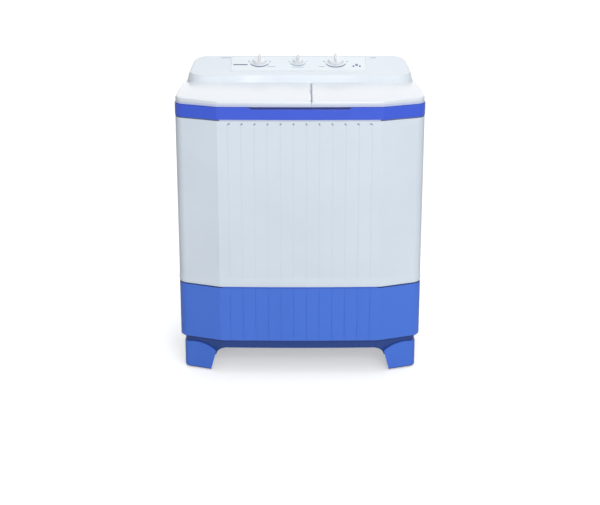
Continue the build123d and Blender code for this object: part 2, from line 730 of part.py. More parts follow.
with BuildPart() as console:
    add(console_block(0, 0))
    fillet(console.faces().sort_by(Axis.Z)[-1].edges(), 5.0)
    add(console_block(CONSOLE_WALL, CONSOLE_WALL), mode=Mode.SUBTRACT)
    # shaft holes
    for x in KNOB_X:
        with BuildSketch(face_plane(x, 2)):
            Circle(6)
        extrude(amount=-12, mode=Mode.SUBTRACT)
    # hole of the water inlet in the back wall
    with BuildSketch(Plane.XZ.offset(-REAR_Y)):
        with Locations((INLET_X, INLET_Z)):
            Circle(14)
    extrude(amount=20, mode=Mode.SUBTRACT)
save(console.part, "console")

FACE_AXIS = Axis((0, 0, 0), face_plane(0).z_dir)
PANEL_LEFT = -218.0
PANEL_RIGHT = 209.0
PANEL_LOW = -65.0  # up the slope, from the knob line
PANEL_HIGH = 37.0
with BuildPart() as control_panel:
    with BuildSketch(face_plane(0)):
        with Locations(((PANEL_LEFT + PANEL_RIGHT) / 2, (PANEL_LOW + PANEL_HIGH) / 2)):
            RectangleRounded(PANEL_RIGHT - PANEL_LEFT, PANEL_HIGH - PANEL_LOW, 8)
        with Locations(*[(x, 0) for x in KNOB_X]):
            Circle(6, mode=Mode.SUBTRACT)
    extrude(amount=PANEL_THICK)
    panel_top = control_panel.faces().sort_by(FACE_AXIS)[-1]
    fillet(panel_top.outer_wire().edges(), 0.8)
save(control_panel.part, "control_panel")

RING_WIDTH = 5.0
RING_THICK = 1.6
with BuildPart() as dial_rings:
    for x, radius in zip(KNOB_X, DIAL_RADIUS):
        with BuildSketch(face_plane(x, PANEL_THICK)):
            Circle(radius - 4)
            Circle(radius - 4 - RING_WIDTH, mode=Mode.SUBTRACT)
        extrude(amount=RING_THICK, taper=20)
save(dial_rings.part, "dial_rings")

KNOB_LIFT = PANEL_THICK + 0.6
KNOB_SKIRT = 3.6
FIN_HEIGHT = 19.0
TIMER_SHAFT = 3.0


def make_knob(x, radius):
    """Round skirt with a dished crown and an upright finger fin that points up the slope."""
    with BuildPart() as knob:
        with BuildSketch(face_plane(x, KNOB_LIFT)):
            Circle(radius)
        extrude(amount=KNOB_SKIRT)
        with BuildSketch(face_plane(x, KNOB_LIFT + KNOB_SKIRT)):
            Circle(radius - 1.5)
        extrude(amount=4, taper=24)
        with BuildSketch(face_plane(x, KNOB_LIFT + KNOB_SKIRT)):
            SlotOverall(2 * radius - 5, 8.5, rotation=90)
        extrude(amount=FIN_HEIGHT - KNOB_SKIRT, taper=4)
        fillet(knob.faces().sort_by(FACE_AXIS)[-1].edges(), 2.2)
        with BuildSketch(face_plane(x, KNOB_LIFT)):
            Circle(TIMER_SHAFT + 0.02)
        extrude(amount=11, mode=Mode.SUBTRACT)
    return knob.part


knob_names = ("wash_timer_knob", "selector_knob", "spin_timer_knob")
for name, x, radius in zip(knob_names, KNOB_X, DIAL_RADIUS):
    save(make_knob(x, radius - 4 - RING_WIDTH - 1.5), name)


def make_timer(x):
    """Wind-up timer under the console face: gear case, mounting plate and terminals."""
    with BuildPart() as timer:
        with BuildSketch(face_plane(x, -CONSOLE_WALL)):
            RectangleRounded(56, 44, 4)
        extrude(amount=-2)
        with BuildSketch(face_plane(x, -CONSOLE_WALL - 2)):
            Circle(21)
        extrude(amount=-22)
        with BuildSketch(face_plane(x, -CONSOLE_WALL - 24)):
            with GridLocations(14, 0, 3, 1):
                Rectangle(6.3, 0.8)
        extrude(amount=-6)
        with BuildSketch(face_plane(x, -CONSOLE_WALL)):
            Circle(TIMER_SHAFT + RUNNING)
        extrude(amount=-16, mode=Mode.SUBTRACT)
    return timer.part


def make_timer_shaft(x):
    """D-shaped timer spindle from the gear case into the knob."""
    with BuildPart() as spindle:
        with BuildSketch(face_plane(x, -CONSOLE_WALL - 15)):
            Circle(TIMER_SHAFT)
        extrude(amount=CONSOLE_WALL + 15 + KNOB_LIFT + 10)
    return spindle.part


save(make_timer(KNOB_X[0]), "wash_timer")
save(make_timer(KNOB_X[2]), "spin_timer")
save(make_timer_shaft(KNOB_X[0]), "wash_timer_shaft")
save(make_timer_shaft(KNOB_X[2]), "spin_timer_shaft")

with BuildPart() as selector_guide:
    # bush that carries the drain selector's spindle under the console face
    with BuildSketch(face_plane(KNOB_X[1], -CONSOLE_WALL)):
        Circle(12)
        Circle(TIMER_SHAFT + RUNNING, mode=Mode.SUBTRACT)
    extrude(amount=-8)
save(selector_guide.part, "selector_guide")

with BuildPart() as selector_shaft:
    # spindle with the cam that works the drain rod
    with BuildSketch(face_plane(KNOB_X[1], -CONSOLE_WALL - 14)):
        Circle(TIMER_SHAFT)
    extrude(amount=CONSOLE_WALL + 14 + KNOB_LIFT + 10)
    with BuildSketch(face_plane(KNOB_X[1], -CONSOLE_WALL - 14)):
        Circle(7)
        with Locations((0, -8)):
            SlotOverall(22, 8, rotation=90)
    extrude(amount=5)
save(selector_shaft.part, "selector_shaft")

with BuildPart() as inlet_socket:
    # cup in the console's back wall that takes the fill hose's connector
    with BuildSketch(Plane.XZ.offset(-INLET_BACK_Y + 24)):
        with Locations((INLET_X, INLET_Z)):
            Circle(13)
    extrude(amount=-24)
    with BuildSketch(Plane.XZ.offset(-INLET_BACK_Y)):
        with Locations((INLET_X, INLET_Z)):
            Circle(18)
    extrude(amount=-INLET_FLANGE)
    with BuildSketch(Plane.XZ.offset(-INLET_BACK_Y - INLET_FLANGE)):
        with Locations((INLET_X, INLET_Z)):
            Circle(10)
    extrude(amount=22, mode=Mode.SUBTRACT)
save(inlet_socket.part, "inlet_socket")

with BuildPart() as cord_gland:
    base_back_y = REAR_Y - BASE_INSET
    with BuildSketch(Plane.XZ.offset(-base_back_y)):
        with Locations((GLAND_X, GLAND_Z)):
            Circle(13)
    extrude(amount=-GLAND_FLANGE)
    fillet(cord_gland.faces().sort_by(Axis.Y)[-1].edges(), 1.5)
    with BuildSketch(Plane.XZ.offset(-base_back_y)):
        with Locations((GLAND_X, GLAND_Z)):
            Circle(GLAND_HOLE - 0.1)
    extrude(amount=16)
    with BuildSketch(Plane.XZ.offset(-base_back_y - GLAND_FLANGE)):
        with Locations((GLAND_X, GLAND_Z)):
            Circle(4)
    extrude(amount=GLAND_FLANGE + 20, mode=Mode.SUBTRACT)
save(cord_gland.part, "cord_gland")

# ---------------------------------------------------------------- wash tub
FILTER_X = -166.0
FILTER_WIDTH = 84.0
FILTER_LOW = 600.0
FILTER_HIGH = 740.0
DRAIN_X = -42.0
DRAIN_Y = 70.0
FILTER_Y = 90.0
RIB_PITCH = 46.0
RIB_HEIGHT = 300.0
tub_centre_x = (TUB_LEFT + TUB_RIGHT) / 2
tub_centre_y = (TUB_FRONT + TUB_REAR) / 2
tub_width = TUB_RIGHT - TUB_LEFT
tub_depth = TUB_REAR - TUB_FRONT


def tub_section(draft, wall):
    """Rounded rectangle of the wash tub, leaning in by the draft."""
    shrink = 2 * (draft + wall)
    with BuildSketch() as section:
        with Locations((tub_centre_x, tub_centre_y)):
            RectangleRounded(tub_width - shrink, tub_depth - shrink, TUB_CORNER - wall - draft)
    return section.sketch


with BuildPart() as wash_tub:
    with BuildSketch(Plane.XY.offset(TUB_FLOOR)):
        add(tub_section(TUB_DRAFT, 0))
    with BuildSketch(Plane.XY.offset(BAND_TOP)):
        add(tub_section(0, 0))
    loft(ruled=True)
    with BuildSketch(Plane.XY.offset(TUB_FLOOR + TUB_WALL)):
        add(tub_section(TUB_DRAFT, TUB_WALL))
    with BuildSketch(Plane.XY.offset(BAND_TOP)):
        add(tub_section(0, TUB_WALL))
    loft(ruled=True, mode=Mode.SUBTRACT)
    # upright water ribs on the front wall
    for i in range(5):
        with Locations((WASH_X + (i - 2) * RIB_PITCH, TUB_FRONT + TUB_DRAFT / 2 + 5, 620)):
            Box(9, 10, RIB_HEIGHT)
    # rails that hold the lint filter on the rear wall
    for side in (-1, 1):
        with Locations((FILTER_X + side * (FILTER_WIDTH / 2 + 4), TUB_REAR - 12, 650)):
            Box(5, 22, 120)
    # shaft hole and drain hole
    with Locations((WASH_X, WASH_Y, TUB_FLOOR + TUB_WALL / 2)):
        Cylinder(18, 2 * TUB_WALL, mode=Mode.SUBTRACT)
    with Locations((DRAIN_X, DRAIN_Y, TUB_FLOOR + TUB_WALL / 2)):
        Cylinder(11, 2 * TUB_WALL, mode=Mode.SUBTRACT)
    add(trough_notch(), mode=Mode.SUBTRACT)
    # overflow port high in the rear wall
    with Locations(Location((OVERFLOW_X, TUB_REAR, OVERFLOW_Z), (90, 0, 0))):
        Cylinder(7, 30, mode=Mode.SUBTRACT)
save(wash_tub.part, "wash_tub")

with BuildPart() as drain_grille:
    with BuildSketch(Plane.XY.offset(TUB_FLOOR + TUB_WALL)):
        with Locations((DRAIN_X, DRAIN_Y)):
            Circle(17)
            with PolarLocations(10.5, 8):
                Circle(2.4, mode=Mode.SUBTRACT)
            with PolarLocations(4.5, 4):
                Circle(2.0, mode=Mode.SUBTRACT)
    extrude(amount=2.5)
save(drain_grille.part, "drain_grille")

with BuildPart() as lint_filter:
    # frame that carries the lint net
    with BuildSketch(Plane.XY.offset(FILTER_LOW)):
        with Locations((FILTER_X, FILTER_Y)):
            RectangleRounded(FILTER_WIDTH, 14, 4)
    extrude(amount=FILTER_HIGH - FILTER_LOW)
    with BuildSketch(Plane.XZ.offset(-70)):
        with Locations((FILTER_X, FILTER_LOW + 62)):
            with GridLocations(12, 12, 6, 8):
                Rectangle(9, 9)
    extrude(amount=-40, mode=Mode.SUBTRACT)
    with BuildSketch(Plane.XY.offset(FILTER_HIGH)):
        with Locations((FILTER_X, FILTER_Y)):
            RectangleRounded(30, 12, 4)
    extrude(amount=12)
save(lint_filter.part, "lint_filter")

# ---------------------------------------------------------------- wash drive
with BuildPart() as wash_bearing_housing:
    with BuildSketch(axial_plane(WASH_X, WASH_Y)):
        with BuildLine():
            Polyline(
                (SHAFT_RADIUS + RUNNING, 338),
                (24, 338),
                (24, 380),
                (52, 394),
                (52, TUB_FLOOR),
                (17.9, TUB_FLOOR),
                (17.9, 403),
                (13, 403),
                (13, 394),
                (SHAFT_RADIUS + RUNNING, 394),
                (SHAFT_RADIUS + RUNNING, 338),
            )
        make_face()
    revolve(axis=Axis((WASH_X, WASH_Y, 0), (0, 0, 1)))
    with Locations((WASH_X, WASH_Y, 388)):
        with PolarLocations(38, 6):
            Box(30, 4, 14)
    with Locations((WASH_X, WASH_Y, 366)):
        Cylinder(SHAFT_RADIUS + RUNNING, 56, mode=Mode.SUBTRACT)
save(wash_bearing_housing.part, "wash_bearing_housing")

with BuildPart() as wash_seal:
    with BuildSketch(Plane.XY.offset(394)):
        with Locations((WASH_X, WASH_Y)):
            Circle(12.9)
            Circle(SHAFT_RADIUS + RUNNING, mode=Mode.SUBTRACT)
    extrude(amount=9)
save(wash_seal.part, "wash_seal")

PULSATOR_RADIUS = 124.0
with BuildPart() as pulsator:
    with BuildSketch(axial_plane(WASH_X, WASH_Y)):
        with BuildLine():
            Polyline(
                (SHAFT_RADIUS + 0.02, 408),
                (18, 408),
                (20, 412),
                (112, 408.5),
                (PULSATOR_RADIUS, 408),
                (PULSATOR_RADIUS, 411.5),
                (112, 413),
                (44, 420),
                (26, 434),
                (15, 437),
                (SHAFT_RADIUS + 0.02, 437),
                (SHAFT_RADIUS + 0.02, 408),
            )
        make_face()
    revolve(axis=Axis((WASH_X, WASH_Y, 0), (0, 0, 1)))
    # three tall and three low vanes
    with Locations((WASH_X, WASH_Y, 412)):
        with PolarLocations(0, 3):
            with Locations((68, 0, 6)):
                Box(88, 13, 16)
        with PolarLocations(0, 3, start_angle=60):
            with Locations((74, 0, 4)):
                Box(64, 10, 10)
    vane_tops = pulsator.edges().filter_by(lambda e: 421 < e.center().Z < 427 and e.length > 40)
    fillet(vane_tops, 3.5)
save(pulsator.part, "pulsator")

with BuildPart() as pulsator_screw:
    with BuildSketch(Plane.XY.offset(WASH_SHAFT_TOP)):
        with Locations((WASH_X, WASH_Y)):
            Circle(SHAFT_RADIUS - 0.3)
    extrude(amount=6)
    with BuildSketch(Plane.XY.offset(WASH_SHAFT_TOP + 6)):
        with Locations((WASH_X, WASH_Y)):
            Rectangle(9, 1.6)
            Rectangle(1.6, 9)
    extrude(amount=-2, mode=Mode.SUBTRACT)
save(pulsator_screw.part, "pulsator_screw")

with BuildPart() as wash_shaft:
    with BuildSketch(Plane.XY.offset(WASH_SHAFT_LOW)):
        with Locations((WASH_X, WASH_Y)):
            Circle(SHAFT_RADIUS)
    extrude(amount=WASH_SHAFT_TOP - WASH_SHAFT_LOW)
save(wash_shaft.part, "wash_shaft")


def make_pulley(x, y, radius, bore, hub, spokes):
    """Belt pulley with a square-shouldered groove and, when large, open spokes."""
    low = BELT_Z - BELT_HEIGHT / 2 - 3
    high = BELT_Z + BELT_HEIGHT / 2 + 3
    floor = radius - GROOVE_FLOOR
    with BuildPart() as pulley:
        with BuildSketch(Plane.XY.offset(low)):
            with Locations((x, y)):
                Circle(radius)
                Circle(bore, mode=Mode.SUBTRACT)
        extrude(amount=high - low)
        with BuildSketch(Plane.XY.offset(BELT_Z - BELT_HEIGHT / 2 - 0.8)):
            with Locations((x, y)):
                Circle(radius + 1)
                Circle(floor, mode=Mode.SUBTRACT)
        extrude(amount=BELT_HEIGHT + 1.6, mode=Mode.SUBTRACT)
        if spokes:
            with BuildSketch(Plane.XY.offset(low)):
                with Locations((x, y)):
                    Circle(floor - 8)
                    Circle(hub, mode=Mode.SUBTRACT)
                    with PolarLocations(0, spokes):
                        with Locations((floor / 2, 0)):
                            Rectangle(floor, 12, mode=Mode.SUBTRACT)
            extrude(amount=high - low, mode=Mode.SUBTRACT)
    return pulley.part


save(make_pulley(WASH_X, WASH_Y, PULLEY_RADIUS, SHAFT_RADIUS + 0.02, 20, 5), "wash_pulley")
save(make_pulley(MOTOR_X, MOTOR_Y, MOTOR_PULLEY_RADIUS, 6.02, 10, 0), "motor_pulley")


def belt_loop(grow):
    """Outline of the belt around both pulleys."""
    with BuildSketch() as loop:
        with Locations((WASH_X, WASH_Y)):
            Circle(PULLEY_RADIUS - GROOVE_FLOOR + grow)
        with Locations((MOTOR_X, MOTOR_Y)):
            Circle(MOTOR_PULLEY_RADIUS - GROOVE_FLOOR + grow)
        make_hull()
    return loop.sketch


with BuildPart() as drive_belt:
    with BuildSketch(Plane.XY.offset(BELT_Z - BELT_HEIGHT / 2)):
        add(belt_loop(BELT_CLEAR + BELT_THICK))
        add(belt_loop(BELT_CLEAR), mode=Mode.SUBTRACT)
    extrude(amount=BELT_HEIGHT)
save(drive_belt.part, "drive_belt")

MOTOR_LOW = 146.0
MOTOR_HIGH = 286.0
MOTOR_SHAFT = 6.0


def make_motor(x, y, low, high, radius):
    """Induction motor: finned stator between two end bells, with bearing bosses."""
    with BuildPart() as motor:
        with BuildSketch(Plane.XY.offset(low + 8)):
            with Locations((x, y)):
                Circle(radius - 6)
                Circle(MOTOR_SHAFT + RUNNING, mode=Mode.SUBTRACT)
        extrude(amount=high - low - 16)
        with BuildSketch(Plane.XY.offset(low + 36)):
            with Locations((x, y)):
                Circle(radius)
                Circle(radius - 8, mode=Mode.SUBTRACT)
        extrude(amount=high - low - 72)
        for level in (low, high - 8):
            with BuildSketch(Plane.XY.offset(level)):
                with Locations((x, y)):
                    Circle(22)
                    Circle(MOTOR_SHAFT + RUNNING, mode=Mode.SUBTRACT)
            extrude(amount=8)
        with BuildSketch(Plane.XY.offset(low + 36)):
            with Locations((x, y)):
                with PolarLocations(radius, 24):
                    Rectangle(3, 5)
        extrude(amount=high - low - 72, mode=Mode.SUBTRACT)
    return motor.part


save(make_motor(MOTOR_X, MOTOR_Y, MOTOR_LOW, MOTOR_HIGH, 58), "wash_motor")

with BuildPart() as wash_motor_shaft:
    with BuildSketch(Plane.XY.offset(MOTOR_LOW + 4)):
        with Locations((MOTOR_X, MOTOR_Y)):
            Circle(MOTOR_SHAFT)
    extrude(amount=318 - MOTOR_LOW - 4)
save(wash_motor_shaft.part, "wash_motor_shaft")

BRACKET_HALF = 62.0
with BuildPart() as wash_motor_bracket:
    # pressed cradle on four feet
    with BuildSketch(Plane.XY.offset(MOTOR_LOW - 4)):
        with Locations((MOTOR_X, MOTOR_Y)):
            RectangleRounded(2 * BRACKET_HALF + 20, 2 * BRACKET_HALF, 14)
            Circle(26, mode=Mode.SUBTRACT)
    extrude(amount=4)
    with Locations((MOTOR_X, MOTOR_Y, (BASE_FLOOR + MOTOR_LOW - 4) / 2)):
        with GridLocations(2 * BRACKET_HALF, 2 * BRACKET_HALF - 24, 2, 2):
            Cylinder(9, MOTOR_LOW - 4 - BASE_FLOOR)
            Cylinder(3.1, MOTOR_LOW - 4 - BASE_FLOOR + 20, mode=Mode.SUBTRACT)
save(wash_motor_bracket.part, "wash_motor_bracket")

with BuildPart() as wash_motor_bolts:
    with Locations((MOTOR_X, MOTOR_Y, MOTOR_LOW)):
        with GridLocations(2 * BRACKET_HALF, 2 * BRACKET_HALF - 24, 2, 2):
            with Locations((0, 0, -14.9)):
                Cylinder(3, 30)
            with Locations((0, 0, 2.5)):
                Cylinder(5.5, 5)
save(wash_motor_bolts.part, "wash_motor_bolts")

# ---------------------------------------------------------------- spin side
with BuildPart() as spin_outer_tub:
    with BuildSketch(Plane.XY.offset(TUB_FLOOR)):
        with Locations((SPIN_X, SPIN_Y)):
            Circle(SPIN_TUB_RADIUS)
    extrude(amount=BAND_TOP - TUB_FLOOR)
    with BuildSketch(Plane.XY.offset(TUB_FLOOR + TUB_WALL)):
        with Locations((SPIN_X, SPIN_Y)):
            Circle(SPIN_TUB_RADIUS - TUB_WALL)
    extrude(amount=BAND_TOP - TUB_FLOOR - TUB_WALL, mode=Mode.SUBTRACT)
    with Locations((SPIN_X, SPIN_Y, TUB_FLOOR)):
        Cylinder(30, 12, mode=Mode.SUBTRACT)
    with Locations((SPIN_DRAIN_X, SPIN_DRAIN_Y, TUB_FLOOR)):
        Cylinder(9, 12, mode=Mode.SUBTRACT)
    add(trough_notch(), mode=Mode.SUBTRACT)
save(spin_outer_tub.part, "spin_outer_tub")

with BuildPart() as spin_seal:
    # rubber bellows between the tub floor and the spin shaft
    with BuildSketch(axial_plane(SPIN_X, SPIN_Y)):
        with BuildLine():
            Polyline(
                (SHAFT_RADIUS + RUNNING, 386),
                (14, 386),
                (16, 391),
                (22, 386),
                (26, 391),
                (29.8, 388),
                (29.8, 410),
                (26, 410),
                (22, 404),
                (18, 410),
                (14, 404),
                (SHAFT_RADIUS + RUNNING, 404),
                (SHAFT_RADIUS + RUNNING, 386),
            )
        make_face()
    revolve(axis=Axis((SPIN_X, SPIN_Y, 0), (0, 0, 1)))
save(spin_seal.part, "spin_seal")

BASKET_WALL = 2.5
with BuildPart() as spin_basket:
    with BuildSketch(Plane.XY.offset(BASKET_BOTTOM)):
        with Locations((SPIN_X, SPIN_Y)):
            Circle(BASKET_RADIUS)
    extrude(amount=BASKET_TOP - BASKET_BOTTOM - 30)
    fillet(spin_basket.edges().group_by(Axis.Z)[0], 6)
    with BuildSketch(Plane.XY.offset(BASKET_BOTTOM + BASKET_WALL + 2)):
        with Locations((SPIN_X, SPIN_Y)):
            Circle(BASKET_RADIUS - BASKET_WALL)
    extrude(amount=BASKET_TOP - BASKET_BOTTOM, mode=Mode.SUBTRACT)
    # hub on the shaft
    with Locations((SPIN_X, SPIN_Y, BASKET_BOTTOM + 2)):
        Cylinder(26, 16)
        Cylinder(SHAFT_RADIUS + 0.02, 20, mode=Mode.SUBTRACT)
    # rows of water holes
    for row in range(7):
        level = BASKET_BOTTOM + 40 + row * 42
        with Locations(Location((SPIN_X, SPIN_Y, level), (0, 0, 15 * (row % 2)))):
            with PolarLocations(BASKET_RADIUS - BASKET_WALL / 2, 12):
                with Locations(Location((0, 0, 0), (0, 90, 0))):
                    Cylinder(3, 8, mode=Mode.SUBTRACT)
save(spin_basket.part, "spin_basket")

with BuildPart() as balance_ring:
    with BuildSketch(axial_plane(SPIN_X, SPIN_Y)) as ring_section:
        with BuildLine():
            Polyline(
                (MOUTH_RADIUS, BASKET_TOP - 30),
                (BASKET_RADIUS + 3, BASKET_TOP - 30),
                (BASKET_RADIUS + 3, BASKET_TOP),
                (MOUTH_RADIUS, BASKET_TOP),
                (MOUTH_RADIUS, BASKET_TOP - 30),
            )
        make_face()
        fillet(ring_section.vertices().group_by(Axis.Y)[-1], 6)
    revolve(axis=Axis((SPIN_X, SPIN_Y, 0), (0, 0, 1)))
save(balance_ring.part, "balance_ring")

with BuildPart() as spin_cap:
    # perforated cap that presses on the laundry, stored on the basket's floor
    with BuildSketch(Plane.XY.offset(442)):
        with Locations((SPIN_X, SPIN_Y)):
            Circle(84)
            with PolarLocations(70, 18):
                Circle(3.5, mode=Mode.SUBTRACT)
            with PolarLocations(52, 12):
                Circle(3.5, mode=Mode.SUBTRACT)
    extrude(amount=3)
    with BuildSketch(Plane.XY.offset(445)):
        with Locations((SPIN_X, SPIN_Y)):
            RectangleRounded(60, 12, 5)
    extrude(amount=12)
    with Locations((SPIN_X, SPIN_Y, 448)):
        Box(36, 14, 5, mode=Mode.SUBTRACT)
save(spin_cap.part, "spin_cap")

with BuildPart() as spin_shaft:
    with BuildSketch(Plane.XY.offset(SPIN_SHAFT_LOW)):
        with Locations((SPIN_X, SPIN_Y)):
            Circle(SHAFT_RADIUS)
    extrude(amount=SPIN_SHAFT_TOP - SPIN_SHAFT_LOW)
save(spin_shaft.part, "spin_shaft")

SPIN_MOTOR_LOW = 142.0
SPIN_MOTOR_HIGH = 262.0
save(make_motor(SPIN_X, SPIN_Y, SPIN_MOTOR_LOW, SPIN_MOTOR_HIGH, 56), "spin_motor")

with BuildPart() as spin_motor_shaft:
    with BuildSketch(Plane.XY.offset(SPIN_MOTOR_LOW + 4)):
        with Locations((SPIN_X, SPIN_Y)):
            Circle(MOTOR_SHAFT)
    extrude(amount=290 - SPIN_MOTOR_LOW - 4)
save(spin_motor_shaft.part, "spin_motor_shaft")

DRUM_RADIUS = 44.0
DRUM_LOW = 276.0
DRUM_HIGH = 304.0
with BuildPart() as brake_drum:
    # coupling between motor and spin shaft, with the brake rim around it
    with BuildSketch(Plane.XY.offset(DRUM_LOW)):
        with Locations((SPIN_X, SPIN_Y)):
            Circle(DRUM_RADIUS)
    extrude(amount=DRUM_HIGH - DRUM_LOW)
    with BuildSketch(Plane.XY.offset(DRUM_LOW)):
        with Locations((SPIN_X, SPIN_Y)):
            Circle(DRUM_RADIUS - 5)
            Circle(16, mode=Mode.SUBTRACT)
    extrude(amount=DRUM_HIGH - DRUM_LOW - 5, mode=Mode.SUBTRACT)
    with BuildSketch(Plane.XY.offset(DRUM_HIGH)):
        with Locations((SPIN_X, SPIN_Y)):
            Circle(15)
    extrude(amount=14)
    with Locations((SPIN_X, SPIN_Y, DRUM_LOW + 7)):
        Cylinder(MOTOR_SHAFT + 0.02, 14.2, mode=Mode.SUBTRACT)
    with Locations((SPIN_X, SPIN_Y, DRUM_HIGH + 8)):
        Cylinder(SHAFT_RADIUS + 0.02, 12.1, mode=Mode.SUBTRACT)
save(brake_drum.part, "brake_drum")

MOUNT_RING = 60.0
MOUNT_ANGLES = (30, 150, 270)
with BuildPart() as spin_motor_plate:
    with BuildSketch(Plane.XY.offset(134)):
        with Locations((SPIN_X, SPIN_Y)):
            Circle(75)
            Circle(18, mode=Mode.SUBTRACT)
    extrude(amount=8)
    with Locations((SPIN_X, SPIN_Y, 138)):
        with PolarLocations(MOUNT_RING, 3, start_angle=MOUNT_ANGLES[0]):
            Cylinder(4.2, 12, mode=Mode.SUBTRACT)
save(spin_motor_plate.part, "spin_motor_plate")

with BuildPart() as spin_motor_mounts:
    # three waisted rubber buffers with studs
    for angle in MOUNT_ANGLES:
        x = SPIN_X + MOUNT_RING * math.cos(math.radians(angle))
        y = SPIN_Y + MOUNT_RING * math.sin(math.radians(angle))
        with BuildSketch(axial_plane(x, y)):
            with BuildLine():
                Polyline((0, BASE_FLOOR), (14, BASE_FLOOR), (14, 119))
                ThreePointArc((14, 119), (10.5, 124.5), (14, 130))
                Polyline((14, 130), (14, 134), (4, 134), (4, 146), (0, 146), (0, BASE_FLOOR))
            make_face()
        revolve(axis=Axis((x, y, 0), (0, 0, 1)))
save(spin_motor_mounts.part, "spin_motor_mounts")

PIVOT_X = SPIN_X + 66.0
PIVOT_Y = SPIN_Y - 58.0
PIVOT_PIN = 4.0
BRAKE_POST_TOP = 277.0
with BuildPart() as brake_bracket:
    # post that carries the brake lever's pivot
    with BuildSketch(Plane.XY.offset(BASE_FLOOR)):
        with Locations((PIVOT_X, PIVOT_Y)):
            RectangleRounded(34, 34, 5)
    extrude(amount=5)
    with BuildSketch(Plane.XY.offset(BASE_FLOOR + 5)):
        with Locations((PIVOT_X, PIVOT_Y)):
            Circle(10)
    extrude(amount=BRAKE_POST_TOP - BASE_FLOOR - 5)
    with BuildSketch(Plane.XY.offset(BRAKE_POST_TOP)):
        with Locations((PIVOT_X, PIVOT_Y)):
            Circle(PIVOT_PIN)
    extrude(amount=25)
save(brake_bracket.part, "brake_bracket")

with BuildPart() as brake_lever:
    # arm along +Y beside the drum, with a lined shoe facing it
    with BuildSketch(Plane.XY.offset(BRAKE_POST_TOP + 0.4)):
        with Locations((PIVOT_X, PIVOT_Y)):
            Circle(10)
            with Locations((0, 42)):
                SlotOverall(96, 10, rotation=90)
        with Locations((PIVOT_X - 7, SPIN_Y)):
            RectangleRounded(12, 30, 3)
        with Locations((PIVOT_X, PIVOT_Y)):
            Circle(PIVOT_PIN + RUNNING, mode=Mode.SUBTRACT)
    extrude(amount=20)
save(brake_lever.part, "brake_lever")

# ---------------------------------------------------------------- drain
with BuildPart() as drain_valve_body:
    with BuildSketch(Plane.XY.offset(VALVE_LOW)):
        with Locations((VALVE_X, VALVE_Y)):
            Circle(VALVE_RADIUS)
    extrude(amount=VALVE_HIGH - VALVE_LOW)
    with BuildSketch(Plane.XY.offset(VALVE_LOW + VALVE_WALL)):
        with Locations((VALVE_X, VALVE_Y)):
            Circle(VALVE_RADIUS - VALVE_WALL)
    extrude(amount=VALVE_HIGH - VALVE_LOW - 2 * VALVE_WALL, mode=Mode.SUBTRACT)
    # seat of the plug
    with BuildSketch(Plane.XY.offset(SEAT_Z)):
        with Locations((VALVE_X, VALVE_Y)):
            Circle(VALVE_RADIUS)
            Circle(9, mode=Mode.SUBTRACT)
    extrude(amount=4)
    # the rod's hole in the cap and the outlet port
    with Locations((VALVE_X, VALVE_Y, VALVE_HIGH - VALVE_WALL / 2)):
        Cylinder(2.6, 8, mode=Mode.SUBTRACT)
    with BuildSketch(Plane.XZ.offset(-VALVE_Y)):
        with Locations((VALVE_X, OUTLET_Z)):
            Circle(10)
    extrude(amount=-30, mode=Mode.SUBTRACT)
save(drain_valve_body.part, "drain_valve_body")

with BuildPart() as drain_valve_plug:
    with BuildSketch(axial_plane(VALVE_X, VALVE_Y)):
        with BuildLine():
            Polyline((2.02, 264.1), (15, 264.1), (15, 268), (7, 276), (7, 284), (2.02, 284), (2.02, 264.1))
        make_face()
    revolve(axis=Axis((VALVE_X, VALVE_Y, 0), (0, 0, 1)))
save(drain_valve_plug.part, "drain_valve_plug")

ROD_LOW = 266.0
ROD_TOP = 852.0
CAM_Y = 168.0
with BuildPart() as drain_rod:
    with BuildSketch(Plane.XY.offset(ROD_LOW)):
        with Locations((VALVE_X, VALVE_Y)):
            Circle(2)
    extrude(amount=ROD_TOP - ROD_LOW)
    # foot that the selector cam lifts
    with BuildSketch(Plane.XY.offset(ROD_TOP - 4)):
        with Locations(((VALVE_X + KNOB_X[1]) / 2, (VALVE_Y + CAM_Y) / 2)):
            SlotOverall(48, 9, rotation=math.degrees(math.atan2(CAM_Y - VALVE_Y, KNOB_X[1] - VALVE_X)))
    extrude(amount=4)
save(drain_rod.part, "drain_rod")

PIPE_Z = 342.0  # the wash tub's pipe meets the valve here
OVERFLOW_FOOT_Z = 300.0
overflow_back_y = TUB_REAR + 22
valve_side = VALVE_RADIUS + 0.05
pipe_turn = math.atan2(VALVE_Y - DRAIN_Y, VALVE_X - DRAIN_X)
drain_pipe = pipe(
    [
        (DRAIN_X, DRAIN_Y, TUB_FLOOR),
        (DRAIN_X, DRAIN_Y, PIPE_Z),
        (VALVE_X - valve_side * math.cos(pipe_turn), VALVE_Y - valve_side * math.sin(pipe_turn), PIPE_Z),
    ],
    20,
    13,
    10.5,
)

spin_turn = math.atan2(VALVE_Y - SPIN_DRAIN_Y, VALVE_X - SPIN_DRAIN_X)
spin_drain_pipe = pipe(
    [
        (SPIN_DRAIN_X, SPIN_DRAIN_Y, TUB_FLOOR),
        (SPIN_DRAIN_X, SPIN_DRAIN_Y, OUTLET_Z),
        (VALVE_X - valve_side * math.cos(spin_turn), VALVE_Y - valve_side * math.sin(spin_turn), OUTLET_Z),
    ],
    24,
    10,
    8,
)
with BuildPart() as drain_pipes:
    # the wash tub's pipe and the spin tub's pipe
    add(drain_pipe)
    add(spin_drain_pipe)
save(drain_pipes.part, "drain_pipes")

